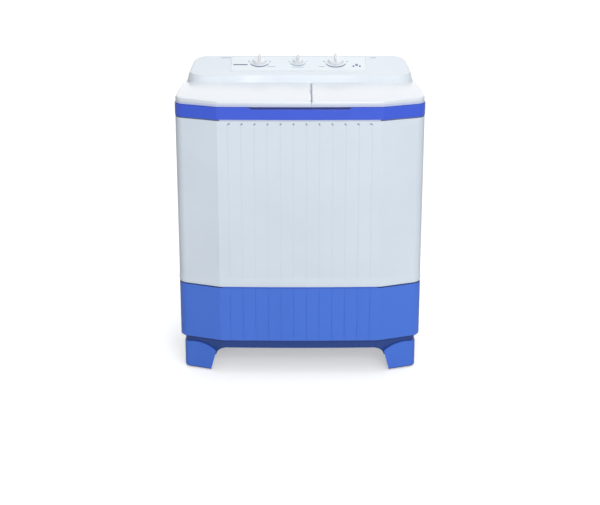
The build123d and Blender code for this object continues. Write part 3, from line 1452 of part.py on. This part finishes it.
overflow_pipe = pipe(
    [
        (OVERFLOW_X, TUB_REAR + 0.05, OVERFLOW_Z),
        (OVERFLOW_X, overflow_back_y, OVERFLOW_Z),
        (OVERFLOW_X, overflow_back_y, OVERFLOW_FOOT_Z),
        (VALVE_X - valve_side, overflow_back_y, OVERFLOW_FOOT_Z),
    ],
    12,
    9,
    7,
)
save(overflow_pipe, "overflow_pipe")

with BuildPart() as drain_outlet:
    # spigot for the drain hose, inside its hole in the rear wall
    with BuildSketch(Plane.XZ.offset(-VALVE_Y - valve_side)):
        with Locations((VALVE_X, OUTLET_Z)):
            Circle(14)
            Circle(10.5, mode=Mode.SUBTRACT)
    extrude(amount=-(REAR_Y - 1 - VALVE_Y - valve_side))
    with BuildSketch(Plane.XZ.offset(-184)):
        with Locations((VALVE_X, OUTLET_Z)):
            Circle(18)
            Circle(10.5, mode=Mode.SUBTRACT)
    extrude(amount=-4)
save(drain_outlet.part, "drain_outlet")

with BuildPart() as capacitors:
    for x in (112, 168):
        with Locations((x, 160, BASE_FLOOR + 40)):
            Cylinder(20, 80)
        with Locations((x, 160, BASE_FLOOR + 86)):
            with GridLocations(14, 0, 2, 1):
                Box(0.8, 6.3, 12)
save(capacitors.part, "capacitors")
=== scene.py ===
import json
import math

import bmesh
import bpy
from mathutils import Matrix, Vector


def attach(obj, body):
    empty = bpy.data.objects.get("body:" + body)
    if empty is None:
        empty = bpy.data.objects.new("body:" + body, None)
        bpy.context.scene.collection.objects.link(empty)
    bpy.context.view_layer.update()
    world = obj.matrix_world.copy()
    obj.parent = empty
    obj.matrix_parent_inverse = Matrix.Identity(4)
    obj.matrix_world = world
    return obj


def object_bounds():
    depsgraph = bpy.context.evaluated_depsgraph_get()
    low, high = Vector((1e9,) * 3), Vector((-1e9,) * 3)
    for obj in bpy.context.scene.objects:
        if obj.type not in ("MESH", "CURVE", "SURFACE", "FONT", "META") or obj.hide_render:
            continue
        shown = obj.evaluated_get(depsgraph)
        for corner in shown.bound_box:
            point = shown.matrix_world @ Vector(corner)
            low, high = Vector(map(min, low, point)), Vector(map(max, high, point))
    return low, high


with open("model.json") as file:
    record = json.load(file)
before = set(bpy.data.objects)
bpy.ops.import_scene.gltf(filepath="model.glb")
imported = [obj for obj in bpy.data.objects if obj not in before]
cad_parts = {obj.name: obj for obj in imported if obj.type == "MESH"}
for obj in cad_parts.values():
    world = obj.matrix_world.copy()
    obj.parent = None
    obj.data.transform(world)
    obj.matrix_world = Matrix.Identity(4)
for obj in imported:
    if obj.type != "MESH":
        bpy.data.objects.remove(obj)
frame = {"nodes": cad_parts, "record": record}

CAD_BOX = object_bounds()
LOW, HIGH = CAD_BOX

WHITE = (1.0, 1.0, 1.0, 1.0)

# ---------------------------------------------------------------- camera, light and floor
MIDDLE = (0.0, 0.0, (HIGH.z - LOW.z) / 2)  # what the lights point at
CAMERA_DISTANCE = 3.9  # in front of the machine's front facet
CAMERA_HEIGHT = 1.792
CAMERA_AIM = Vector((0.0, -0.03, 0.439))
SENSOR_WIDTH = 36.0
LENS = 82.85
SHIFT_Y = -0.053
FAR_CLIP = 60.0
LEFT_LEVEL = 0.02  # brightness of the surround at the far left
RIGHT_LEVEL = 0.14
SURROUND_STOPS = ((0.20, LEFT_LEVEL), (0.42, 1.0), (0.60, 1.0), (0.84, RIGHT_LEVEL))
SURROUND_STRENGTH = 1.2
FLOOR_HALF = 40.0
FLOOR_SEEN = (0.96, 0.96, 0.96, 1.0)  # the floor's colour as the camera sees it
FLOOR_THROWN = (0.64, 0.64, 0.64, 1.0)  # and as the machine sees it
FLOOR_GLOW = 0.42


def mixed(tree, factor, first, second):
    """Mix of two colours, each a socket or a fixed colour."""
    node = tree.nodes.new("ShaderNodeMix")
    node.data_type = "RGBA"
    tree.links.new(factor, node.inputs["Factor"])
    sockets = [socket for socket in node.inputs if socket.type == "RGBA"]
    for socket, colour in zip(sockets, (first, second)):
        if isinstance(colour, tuple):
            socket.default_value = colour
        else:
            tree.links.new(colour, socket)
    return next(socket for socket in node.outputs if socket.type == "RGBA")


def add_camera():
    """Camera in front of the machine and above it, as in the reference view."""
    data = bpy.data.cameras.new("camera")
    camera = bpy.data.objects.new("camera", data)
    bpy.context.scene.collection.objects.link(camera)
    camera.location = (0.0, LOW.y - CAMERA_DISTANCE, CAMERA_HEIGHT)
    camera.rotation_euler = (CAMERA_AIM - camera.location).to_track_quat("-Z", "Y").to_euler()
    data.sensor_width = SENSOR_WIDTH
    data.lens = LENS
    data.shift_y = SHIFT_Y
    data.clip_end = FAR_CLIP
    bpy.context.scene.camera = camera


def add_area(name, location, size, power, colour=WHITE[:3]):
    """Soft rectangular studio light that points at the machine's middle."""
    data = bpy.data.lights.new(name, "AREA")
    data.shape = "RECTANGLE"
    data.size, data.size_y = size
    data.energy = power
    data.color = colour
    light = bpy.data.objects.new(name, data)
    bpy.context.scene.collection.objects.link(light)
    light.location = location
    light.rotation_euler = (Vector(MIDDLE) - light.location).to_track_quat("-Z", "Y").to_euler()


def add_surround():
    """White surround that gives less light from the left and from the right."""
    world = bpy.data.worlds.new("studio")
    bpy.context.scene.world = world
    world.use_nodes = True
    tree = world.node_tree
    background = tree.nodes["Background"]
    place = tree.nodes.new("ShaderNodeTexCoord")
    split = tree.nodes.new("ShaderNodeSeparateXYZ")
    tree.links.new(place.outputs["Generated"], split.inputs["Vector"])
    ramp = tree.nodes.new("ShaderNodeValToRGB")
    spread = tree.nodes.new("ShaderNodeMapRange")
    spread.inputs["From Min"].default_value = -1.0
    tree.links.new(split.outputs["X"], spread.inputs["Value"])
    tree.links.new(spread.outputs["Result"], ramp.inputs["Fac"])
    stops = ramp.color_ramp.elements
    for position, level in SURROUND_STOPS:
        stop = stops.new(position)
        stop.color = (level, level, level, 1.0)
    stops.remove(stops[0])
    stops.remove(stops[-1])
    seen = tree.nodes.new("ShaderNodeLightPath").outputs["Is Camera Ray"]
    tree.links.new(mixed(tree, seen, ramp.outputs["Color"], WHITE), background.inputs["Color"])
    background.inputs["Strength"].default_value = SURROUND_STRENGTH


def add_studio():
    """White surround, a broad front light, a top light and a weaker light from the right."""
    bpy.context.scene.view_settings.view_transform = "Standard"
    add_surround()
    add_area("front_light", (0.6, -3.6, 2.2), size=(1.6, 1.2), power=42.0)
    add_area("top_light", (0.2, -0.1, 3.4), size=(1.6, 1.2), power=11.0)
    add_area("right_light", (3.2, -1.6, 1.7), size=(1.4, 2.0), power=3.0, colour=(0.97, 0.98, 1.0))


def add_floor():
    """Plain pale floor that runs on far behind the machine."""
    mesh = bpy.data.meshes.new("floor")
    corners = [(x * FLOOR_HALF, y * FLOOR_HALF, 0.0) for x, y in ((-1, -1), (1, -1), (1, 1), (-1, 1))]
    mesh.from_pydata(corners, [], [(0, 1, 2, 3)])
    floor = bpy.data.objects.new("floor", mesh)
    bpy.context.scene.collection.objects.link(floor)
    material = bpy.data.materials.new("floor_paint")
    material.use_nodes = True
    tree = material.node_tree
    shader = tree.nodes["Principled BSDF"]
    shader.inputs["Roughness"].default_value = 0.8
    shader.inputs["Emission Color"].default_value = (1.0, 1.0, 0.98, 1.0)
    # the floor looks white and throws only part of that light back at the machine
    seen = tree.nodes.new("ShaderNodeLightPath").outputs["Is Camera Ray"]
    glow = tree.nodes.new("ShaderNodeMath")
    glow.operation = "MULTIPLY"
    glow.inputs[1].default_value = FLOOR_GLOW
    tree.links.new(seen, glow.inputs[0])
    tree.links.new(glow.outputs["Value"], shader.inputs["Emission Strength"])
    tree.links.new(mixed(tree, seen, FLOOR_THROWN, FLOOR_SEEN), shader.inputs["Base Color"])
    mesh.materials.append(material)


# ---------------------------------------------------------------- materials
# Places on the machine where a material paints shade in a darker colour, in metres.
FACET_FRONT = -0.215  # y of the front facet at the middle
FACET_HALF = 0.243
FACET_SAG = 0.004  # how far the facet bows back at its ends
FACET_BOW = FACET_SAG / FACET_HALF ** 2
BASE_INSET = 0.0010  # how far the base and the cabinet stand behind the facet
CABINET_INSET = 0.0015
GROOVE_DEPTHS = (0.0004, 0.0026)  # grooves and dimples lie between these depths
GROOVED_HALF = 0.235
DIMPLE_LEVELS = (0.7910, 0.7990)
BASE_JOINT = (0.2838, 0.2885)  # recesses between the shells, as heights, where the colour paints shade
BAND_JOINT = (0.8038, 0.8085)
LID_JOINT = (0.8450, 0.8530)
SCOOP_BACK = (-0.2126, -0.2088)  # y of the finger scoop's back wall, where the colour paints shade
SCOOP_HALF = 0.153
SCOOP_LOW = 0.8384

BARE_STEEL = (0.33, 0.32, 0.31, 1.0)  # where paint has chipped off
NO_STRETCH = (1.0, 1.0, 1.0)


def srgb(red, green, blue):
    """Linear colour of an 8-bit display colour."""
    def linear(value):
        value /= 255.0
        return value / 12.92 if value <= 0.04045 else ((value + 0.055) / 1.055) ** 2.4
    return (linear(red), linear(green), linear(blue), 1.0)


def tint(colour, factor, lift=0.0):
    """A colour made darker or paler."""
    return tuple(min(1.0, v * factor + lift) for v in colour[:3]) + (1.0,)


class Shader:
    """Small helper around one material's node tree."""

    def __init__(self, name):
        self.material = bpy.data.materials.new(name)
        self.material.use_nodes = True
        self.tree = self.material.node_tree
        self.bsdf = self.tree.nodes["Principled BSDF"]
        self.place = self.node("ShaderNodeTexCoord").outputs["Object"]

    def node(self, kind, **settings):
        """New node with its plain properties set."""
        new = self.tree.nodes.new(kind)
        for key, value in settings.items():
            setattr(new, key, value)
        return new

    def link(self, source, target):
        self.tree.links.new(source, target)

    def noise(self, scale, detail=3.0, roughness=0.5, stretch=None):
        """Noise over object space, optionally stretched along an axis."""
        place = self.place
        if stretch:
            mapping = self.node("ShaderNodeMapping")
            mapping.inputs["Scale"].default_value = stretch
            self.link(place, mapping.inputs["Vector"])
            place = mapping.outputs["Vector"]
        noise = self.node("ShaderNodeTexNoise")
        noise.inputs["Scale"].default_value = scale
        noise.inputs["Detail"].default_value = detail
        noise.inputs["Roughness"].default_value = roughness
        self.link(place, noise.inputs["Vector"])
        return noise.outputs["Fac"]

    def map_range(self, value, low, high, to_low, to_high):
        """Clamped linear remap."""
        node = self.node("ShaderNodeMapRange")
        self.link(value, node.inputs["Value"])
        ends = {"From Min": low, "From Max": high, "To Min": to_low, "To Max": to_high}
        for key, number in ends.items():
            node.inputs[key].default_value = number
        return node.outputs["Result"]

    def mix(self, factor, first, second):
        """Mix of two colours, each a socket or a fixed colour."""
        return mixed(self.tree, factor, first, second)

    def math(self, operation, first, second):
        """Maths on two values, each a socket or a number."""
        node = self.node("ShaderNodeMath", operation=operation)
        for socket, value in zip(node.inputs, (first, second)):
            if isinstance(value, (int, float)):
                socket.default_value = value
            else:
                self.link(value, socket)
        return node.outputs["Value"]

    def edge(self, radius):
        """1 on outer edges, 0 on flat surfaces."""
        bevel = self.node("ShaderNodeBevel", samples=4)
        bevel.inputs["Radius"].default_value = radius
        geometry = self.node("ShaderNodeNewGeometry")
        dot = self.node("ShaderNodeVectorMath", operation="DOT_PRODUCT")
        self.link(bevel.outputs["Normal"], dot.inputs[0])
        self.link(geometry.outputs["Normal"], dot.inputs[1])
        return self.map_range(dot.outputs["Value"], 0.998, 0.93, 0.0, 1.0)

    def split(self, vector, axis):
        """One component of a vector."""
        parts = self.node("ShaderNodeSeparateXYZ")
        self.link(vector, parts.inputs["Vector"])
        return parts.outputs[axis]

    def underside(self):
        """1 on walls that lean in downwards and on undersides, where painted shade goes, 0 elsewhere.
        """
        normal = self.node("ShaderNodeNewGeometry").outputs["Normal"]
        return self.map_range(self.split(normal, "Z"), -0.05, -0.13, 0.0, 1.0)

    def between(self, value, low, high):
        """1 where a value lies between two limits, 0 elsewhere."""
        above = self.math("GREATER_THAN", value, low)
        return self.math("MULTIPLY", above, self.math("LESS_THAN", value, high))

    def level(self, low, high):
        """1 between two heights, 0 elsewhere."""
        return self.between(self.split(self.place, "Z"), low, high)

    def grooves(self, inset):
        """1 inside the grooves and dimples of the bowed front facet, where painted shade goes, 0
        elsewhere.
        """
        off_middle = self.math("ABSOLUTE", self.split(self.place, "X"), 0.0)
        bow = self.math("MULTIPLY", self.math("POWER", off_middle, 2.0), FACET_BOW)
        front = self.math("ADD", bow, FACET_FRONT + inset)
        depth = self.math("SUBTRACT", self.split(self.place, "Y"), front)
        across = self.math("LESS_THAN", off_middle, GROOVED_HALF)
        return self.math("MULTIPLY", self.between(depth, *GROOVE_DEPTHS), across)

    def scoop(self):
        """1 on the back wall of the band's finger scoop, where painted shade goes, 0 elsewhere."""
        back = self.between(self.split(self.place, "Y"), *SCOOP_BACK)
        across = self.between(self.split(self.place, "X"), -SCOOP_HALF, SCOOP_HALF)
        high = self.math("GREATER_THAN", self.split(self.place, "Z"), SCOOP_LOW)
        return self.math("MULTIPLY", back, self.math("MULTIPLY", across, high))

    def bump(self, height, strength, distance, normal=None):
        """Bump from a height value."""
        bump = self.node("ShaderNodeBump")
        bump.inputs["Strength"].default_value = strength
        bump.inputs["Distance"].default_value = distance
        self.link(height, bump.inputs["Height"])
        if normal is not None:
            self.link(normal, bump.inputs["Normal"])
        return bump.outputs["Normal"]

    def finish(self, colour, roughness, normal):
        """Wire the surface's colour, roughness and normal."""
        self.link(colour, self.bsdf.inputs["Base Color"])
        self.link(roughness, self.bsdf.inputs["Roughness"])
        self.link(normal, self.bsdf.inputs["Normal"])
        return self.material


def moulded(
    name, colour, roughness=0.32, coat=0.0, grain=0.05, wear_and_highlight_colour=None, wear_and_highlight_amount=0.35, edge=0.0012,
    underside_shade=None, shaded_joint_levels=None, joint_shade_colour=None, scoop_shade_colour=None,
    groove_inset=None, groove_shade_colour=None, dimple_shade_colour=None,
):
    """Moulded plastic: faint flow marks and tone drift, fine grain, dust specks and paler edges that
    are partly wear and partly painted highlight.

    On undersides, in the joint between two shells, in grooves and dimples and on the scoop's back wall
    it can paint shade in darker colours.
    """
    s = Shader(name)
    drift = s.map_range(s.noise(2.6, 4.0, 0.6), 0.3, 0.7, 0.0, 1.0)
    tone = s.mix(drift, tint(colour, 0.95), tint(colour, 1.03, 0.002))
    flow = s.map_range(s.noise(9.0, 2.0, 0.5, (1.0, 1.0, 0.25)), 0.35, 0.65, 0.0, 0.35)
    dust = s.map_range(s.noise(420.0, 2.0, 0.6), 0.70, 0.80, 0.0, 0.16)
    skin = s.mix(dust, s.mix(flow, tone, colour), tint(colour, 0.72))
    if edge:
        # paler edges: partly wear, partly painted highlight
        wear_and_highlight = s.map_range(s.noise(38.0, 3.0), 0.35, 0.65, wear_and_highlight_amount * 0.35, wear_and_highlight_amount)
        skin = s.mix(s.math("MULTIPLY", s.edge(edge), wear_and_highlight), skin, wear_and_highlight_colour or tint(colour, 1.25, 0.03))
    # painted shade: undersides and walls that lean in downwards take a darker colour
    if underside_shade:
        skin = s.mix(s.math("MULTIPLY", s.underside(), 0.92), skin, underside_shade)
    if shaded_joint_levels:
        # painted shade in the recess between two shells
        skin = s.mix(s.level(*shaded_joint_levels), skin, joint_shade_colour)
    if groove_inset:
        # painted shade: grooves and dimples take darker colours
        cut = s.grooves(groove_inset)
        skin = s.mix(cut, skin, groove_shade_colour)
        if dimple_shade_colour:
            dimples = s.math("MULTIPLY", cut, s.level(*DIMPLE_LEVELS))
            skin = s.mix(dimples, skin, dimple_shade_colour)
    if scoop_shade_colour:
        # painted shade on the scoop's back wall under the lid's edge
        skin = s.mix(s.scoop(), skin, scoop_shade_colour)
    smear = s.map_range(s.noise(14.0, 5.0, 0.65), 0.3, 0.75, roughness * 0.92, roughness * 1.14)
    fine = s.bump(s.noise(1500.0, 2.0, 0.5), grain, 0.0004)
    waves = s.bump(s.noise(7.0, 1.0, 0.4), 0.05, 0.004, fine)
    s.bsdf.inputs["Coat Weight"].default_value = coat
    s.bsdf.inputs["Coat Roughness"].default_value = 0.12
    s.bsdf.inputs["IOR"].default_value = 1.49
    return s.finish(skin, smear, waves)


def metal(name, colour, roughness=0.3, stretch=(1.0, 1.0, 30.0), scratch=0.08):
    """Machined, plated or cast metal with streaks, stains and fine scratches."""
    s = Shader(name)
    stain = s.map_range(s.noise(16.0, 5.0, 0.65), 0.35, 0.75, 0.0, 0.8)
    tone = s.mix(stain, colour, tint(colour, 0.66))
    streak = s.noise(130.0, 3.0, 0.6, stretch)
    rough = s.map_range(streak, 0.3, 0.7, roughness * 0.7, roughness * 1.5)
    normal = s.bump(streak, scratch, 0.0006)
    s.bsdf.inputs["Metallic"].default_value = 1.0
    return s.finish(tone, rough, normal)


def enamel(name, colour, roughness=0.38):
    """Painted steel with orange peel and chipped edges."""
    s = Shader(name)
    drift = s.map_range(s.noise(5.0, 4.0, 0.6), 0.3, 0.7, 0.0, 1.0)
    tone = s.mix(drift, colour, tint(colour, 1.12))
    chips = s.math("MULTIPLY", s.edge(0.0012), s.map_range(s.noise(90.0, 3.0), 0.5, 0.6, 0.0, 1.0))
    chipped = s.mix(chips, tone, BARE_STEEL)
    rough = s.map_range(s.noise(24.0, 4.0), 0.3, 0.7, roughness * 0.8, roughness * 1.3)
    normal = s.bump(s.noise(260.0, 2.0), 0.10, 0.0005)
    return s.finish(chipped, rough, normal)


def rubber(name, colour, roughness=0.72):
    """Matt rubber with bloom and a pebbled skin."""
    s = Shader(name)
    bloom = s.map_range(s.noise(22.0, 5.0, 0.7), 0.45, 0.8, 0.0, 0.7)
    tone = s.mix(bloom, colour, tint(colour, 1.9, 0.01))
    rough = s.map_range(s.noise(60.0, 3.0), 0.3, 0.7, roughness * 0.85, min(1.0, roughness * 1.2))
    normal = s.bump(s.noise(520.0, 3.0, 0.6), 0.22, 0.0006)
    return s.finish(tone, rough, normal)


MATERIALS = {
    # undersides, the joint under the cabinet and the grooves are painted darker as shade; paler edges
    # are partly wear, partly painted highlight
    "blue_plastic": moulded(
        "blue_plastic", srgb(74, 124, 232), 0.42, 0.0, 0.10, srgb(150, 180, 240),
        underside_shade=srgb(40, 70, 140), shaded_joint_levels=BASE_JOINT, joint_shade_colour=srgb(44, 72, 138),
        groove_inset=BASE_INSET, groove_shade_colour=srgb(68, 116, 223),
    ),
    # lilac edges are partly wear, partly painted highlight; undersides and the scoop's back wall are
    # painted dark as shade
    "band_plastic": moulded(
        "band_plastic", srgb(60, 96, 230), 0.25, 0.3, 0.04, srgb(160, 165, 240),
        underside_shade=srgb(38, 58, 130), scoop_shade_colour=srgb(40, 54, 130),
    ),
    # the joint under the band, the grooves and the dimples are painted darker as shade
    "cabinet_plastic": moulded(
        "cabinet_plastic", srgb(228, 239, 250), 0.33, 0.1, 0.05, srgb(246, 250, 254),
        shaded_joint_levels=BAND_JOINT, joint_shade_colour=srgb(100, 122, 172),
        groove_inset=CABINET_INSET, groove_shade_colour=srgb(221, 232, 244),
        dimple_shade_colour=srgb(170, 182, 198),
    ),
    "white_plastic": moulded("white_plastic", srgb(231, 239, 247), 0.30, 0.15, 0.04),
    # the strip at the lid's rim is painted darker and bluer as shade
    "lid_plastic": moulded(
        "lid_plastic", srgb(233, 239, 247), 0.20, 0.35, 0.03,
        shaded_joint_levels=LID_JOINT, joint_shade_colour=srgb(210, 220, 246),
    ),
    "panel_plastic": moulded("panel_plastic", srgb(238, 247, 253), 0.35, 0.0, 0.03),
    "knob_plastic": moulded("knob_plastic", srgb(238, 241, 246), 0.22, 0.3, 0.03, edge=0.0008),
    "cover_sheet": enamel("cover_sheet", srgb(206, 216, 228)),
    "tub_plastic": moulded("tub_plastic", srgb(226, 234, 244), 0.24, 0.2, 0.03),
    "basket_plastic": moulded("basket_plastic", srgb(224, 232, 242), 0.28, 0.1, 0.03),
    "pulsator_plastic": moulded("pulsator_plastic", srgb(80, 130, 222), 0.28, 0.2, 0.04),
    "grey_plastic": moulded("grey_plastic", srgb(150, 155, 162), 0.5, 0.0, 0.15),
    "cap_plastic": moulded("cap_plastic", srgb(205, 204, 198), 0.45, 0.0, 0.08),
    "black_rubber": rubber("black_rubber", (0.022, 0.022, 0.024, 1.0)),
    "bright_steel": metal("bright_steel", (0.62, 0.63, 0.65, 1.0), 0.22),
    "zinc_steel": metal("zinc_steel", (0.55, 0.56, 0.57, 1.0), 0.38, NO_STRETCH, 0.05),
    "motor_steel": enamel("motor_steel", (0.035, 0.04, 0.045, 1.0), 0.35),
    "cast_alloy": metal("cast_alloy", (0.50, 0.51, 0.52, 1.0), 0.46, NO_STRETCH, 0.25),
}


def dress_frame():
    """Give every CAD node the detailed material of its record slot."""
    for part in frame["record"]["subparts"]:
        node = frame["nodes"][part["node"]]
        node.data.materials.clear()
        node.data.materials.append(MATERIALS[part["material_slot"]])


# ---------------------------------------------------------------- mesh helpers
def joint(name):
    """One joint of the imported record."""
    return next(j for j in frame["record"]["behaviour"]["joints"] if j["name"] == name)


def print_piece(name, bm, ink):
    """Printed object that rides on the root and replaces nothing."""
    mesh = bpy.data.meshes.new(name)
    bm.to_mesh(mesh)
    bm.free()
    mesh.materials.append(ink)
    piece = bpy.data.objects.new(name, mesh)
    bpy.context.scene.collection.objects.link(piece)
    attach(piece, "root")


def face_matrix(name, lift):
    """Frame on the console face at a knob: X to the right, Y up the slope, Z out of the face."""
    turn = joint(name)
    out = -Vector(turn["axis"]).normalized()
    right = Vector((1.0, 0.0, 0.0))
    return Matrix.LocRotScale(
        Vector(turn["pos_m"]) + out * lift,
        Matrix((right, out.cross(right), out)).transposed().to_quaternion(),
        None,
    )


def prism(bm, outline, base, height, matrix):
    """Closed flat solid over a 2-D outline."""
    low = [bm.verts.new(matrix @ Vector((x, y, base))) for x, y in outline]
    high = [bm.verts.new(matrix @ Vector((x, y, base + height))) for x, y in outline]
    count = len(outline)
    bm.faces.new(list(reversed(low)))
    bm.faces.new(high)
    for i in range(count):
        bm.faces.new((low[i], low[(i + 1) % count], high[(i + 1) % count], high[i]))


def arc_points(radius, start, end, steps):
    """Points on an arc, angles in degrees."""
    angles = [math.radians(start + (end - start) * i / steps) for i in range(steps + 1)]
    return [(radius * math.cos(a), radius * math.sin(a)) for a in angles]


def crescent(radius, width, start, end, steps=28):
    """Outline of an arc that thins out towards both ends."""
    inner, outer = [], []
    for i in range(steps + 1):
        angle = math.radians(start + (end - start) * i / steps)
        reach = radius + TIP_WIDTH + width * math.sin(math.pi * i / steps) ** TAPER
        inner.append((radius * math.cos(angle), radius * math.sin(angle)))
        outer.append((reach * math.cos(angle), reach * math.sin(angle)))
    return outer + inner[::-1]


def pill(x, y, length, height, steps=6):
    """Outline of a bar with round ends."""
    r = height / 2
    right = [(x + length / 2 - r + px, y + py) for px, py in arc_points(r, -90, 90, steps)]
    left = [(x - length / 2 + r + px, y + py) for px, py in arc_points(r, 90, 270, steps)]
    return right + left


def drop(x, y, size, steps=10):
    """Outline of a water drop with its tip up."""
    round_part = [(x + px, y + py) for px, py in arc_points(size, 150, 390, steps)]
    return round_part + [(x, y + 2.1 * size)]


# ---------------------------------------------------------------- print on the console
PANEL_TOP = 0.0012  # thickness of the inlay above the console face
INK = 0.00012  # thickness of the print
BOLD_INK = 1.4 * INK
MM = 0.001
TICK_LONG = 4.0  # the dials' print, in millimetres
TICK_SHORT = 2.4
TICK_HALF = 0.45
LONG_EVERY = 3
ARC_WIDTH = 5.0
ARC_START, ARC_END = 204, 336
TIP_WIDTH = 0.5
TAPER = 0.7
END_DOT = (4.4, 3.8)
CAPTION = 2.6

INK_NAVY = moulded("ink_navy", srgb(40, 62, 120), 0.4, grain=0.02, edge=0)
INK_GREY = moulded("ink_grey", srgb(150, 166, 188), 0.45, grain=0.02, edge=0)
INK_BORDER = moulded("ink_border", srgb(186, 198, 214), 0.4, grain=0.02, edge=0)
INK_BLUE = moulded("ink_blue", srgb(96, 114, 166), 0.4, grain=0.02, edge=0)


def print_dial(name, turn, radius, ticks, sweep, ink, arc_ink):
    """Scale of ticks around a knob, with a bold arc on the side of the user."""
    matrix = face_matrix(turn, PANEL_TOP)
    bm = bmesh.new()
    for i in range(ticks):
        angle = math.radians(90.0 - sweep / 2 + sweep * i / (ticks - 1))
        reach = radius + (TICK_SHORT if i % LONG_EVERY else TICK_LONG)
        direction = Vector((math.cos(angle), math.sin(angle)))
        side = Vector((-direction.y, direction.x)) * TICK_HALF
        corners = [
            direction * radius - side,
            direction * reach - side,
            direction * reach + side,
            direction * radius + side,
        ]
        prism(bm, [(c.x * MM, c.y * MM) for c in corners], 0.0, INK, matrix)
    print_piece(name + "_ticks", bm, ink)
    shapes = [crescent(radius, ARC_WIDTH, ARC_START, ARC_END)]
    for angle in (180, 360):
        x, y = arc_points(radius + 2.0, angle, angle + 1, 1)[0]
        shapes.append(pill(x, y, *END_DOT))
    print_marks(name + "_arc", turn, shapes, arc_ink, thickness=BOLD_INK)


def print_marks(name, turn, outlines, ink, lift=PANEL_TOP, thickness=INK):
    """Flat printed shapes placed from one knob's centre."""
    matrix = face_matrix(turn, lift)
    bm = bmesh.new()
    for outline in outlines:
        prism(bm, [(x * MM, y * MM) for x, y in outline], 0.0, thickness, matrix)
    print_piece(name, bm, ink)


def rounded_frame(left, right, low, high, corner, width):
    """Flat strip that follows a rounded rectangle, as one outline for each of its short lengths."""
    def outline(inset):
        r = corner - inset
        points = []
        centres = (
            (right - corner, high - corner, 0), (left + corner, high - corner, 90),
            (left + corner, low + corner, 180), (right - corner, low + corner, 270),
        )
        for x, y, start in centres:
            points += [(x + px, y + py) for px, py in arc_points(r, start, start + 90, 6)]
        return points
    outer, inner = outline(0.0), outline(width)
    count = len(outer)
    return [(outer[i], outer[(i + 1) % count], inner[(i + 1) % count], inner[i]) for i in range(count)]


def print_console():
    """All print on the inlay: border line, three dials, caption bars and two plain marks."""
    border = rounded_frame(-209.4, 213.6, -63.0, 35.0, 6.5, 1.1)
    print_marks("panel_border", "drain_selector_turn", border, INK_BORDER)
    print_dial("wash_dial", "wash_timer_turn", 31.0, 16, 250.0, INK_GREY, INK_NAVY)
    print_dial("selector_dial", "drain_selector_turn", 25.0, 3, 90.0, INK_GREY, INK_GREY)
    print_dial("spin_dial", "spin_timer_turn", 34.0, 13, 230.0, INK_GREY, INK_NAVY)
    print_marks("wash_caption", "wash_timer_turn", [pill(38, -34, 26, CAPTION)], INK_GREY)
    print_marks("selector_caption", "drain_selector_turn", [pill(0, -37, 38, CAPTION)], INK_GREY)
    print_marks("spin_caption", "spin_timer_turn", [pill(-44, -34, 20, CAPTION)], INK_GREY)
    print_marks("plain_bar_mark", "wash_timer_turn", [pill(-59, -21, 46, 5.4)], INK_NAVY)
    drops = [drop(55, -32, 3.6), drop(65, -24, 5.0), drop(75, -32, 3.6)]
    print_marks("water_drop_mark", "spin_timer_turn", drops, INK_BLUE)
    # two flat grey bars laid on the console's rear edge
    rear_edge_bars = [pill(-227, 27, 30, 3.4), pill(238, 27, 18, 3.4)]
    print_marks("rear_edge_marks", "drain_selector_turn", rear_edge_bars, INK_GREY, lift=0.0)


add_camera()
add_studio()
add_floor()
dress_frame()
print_console()
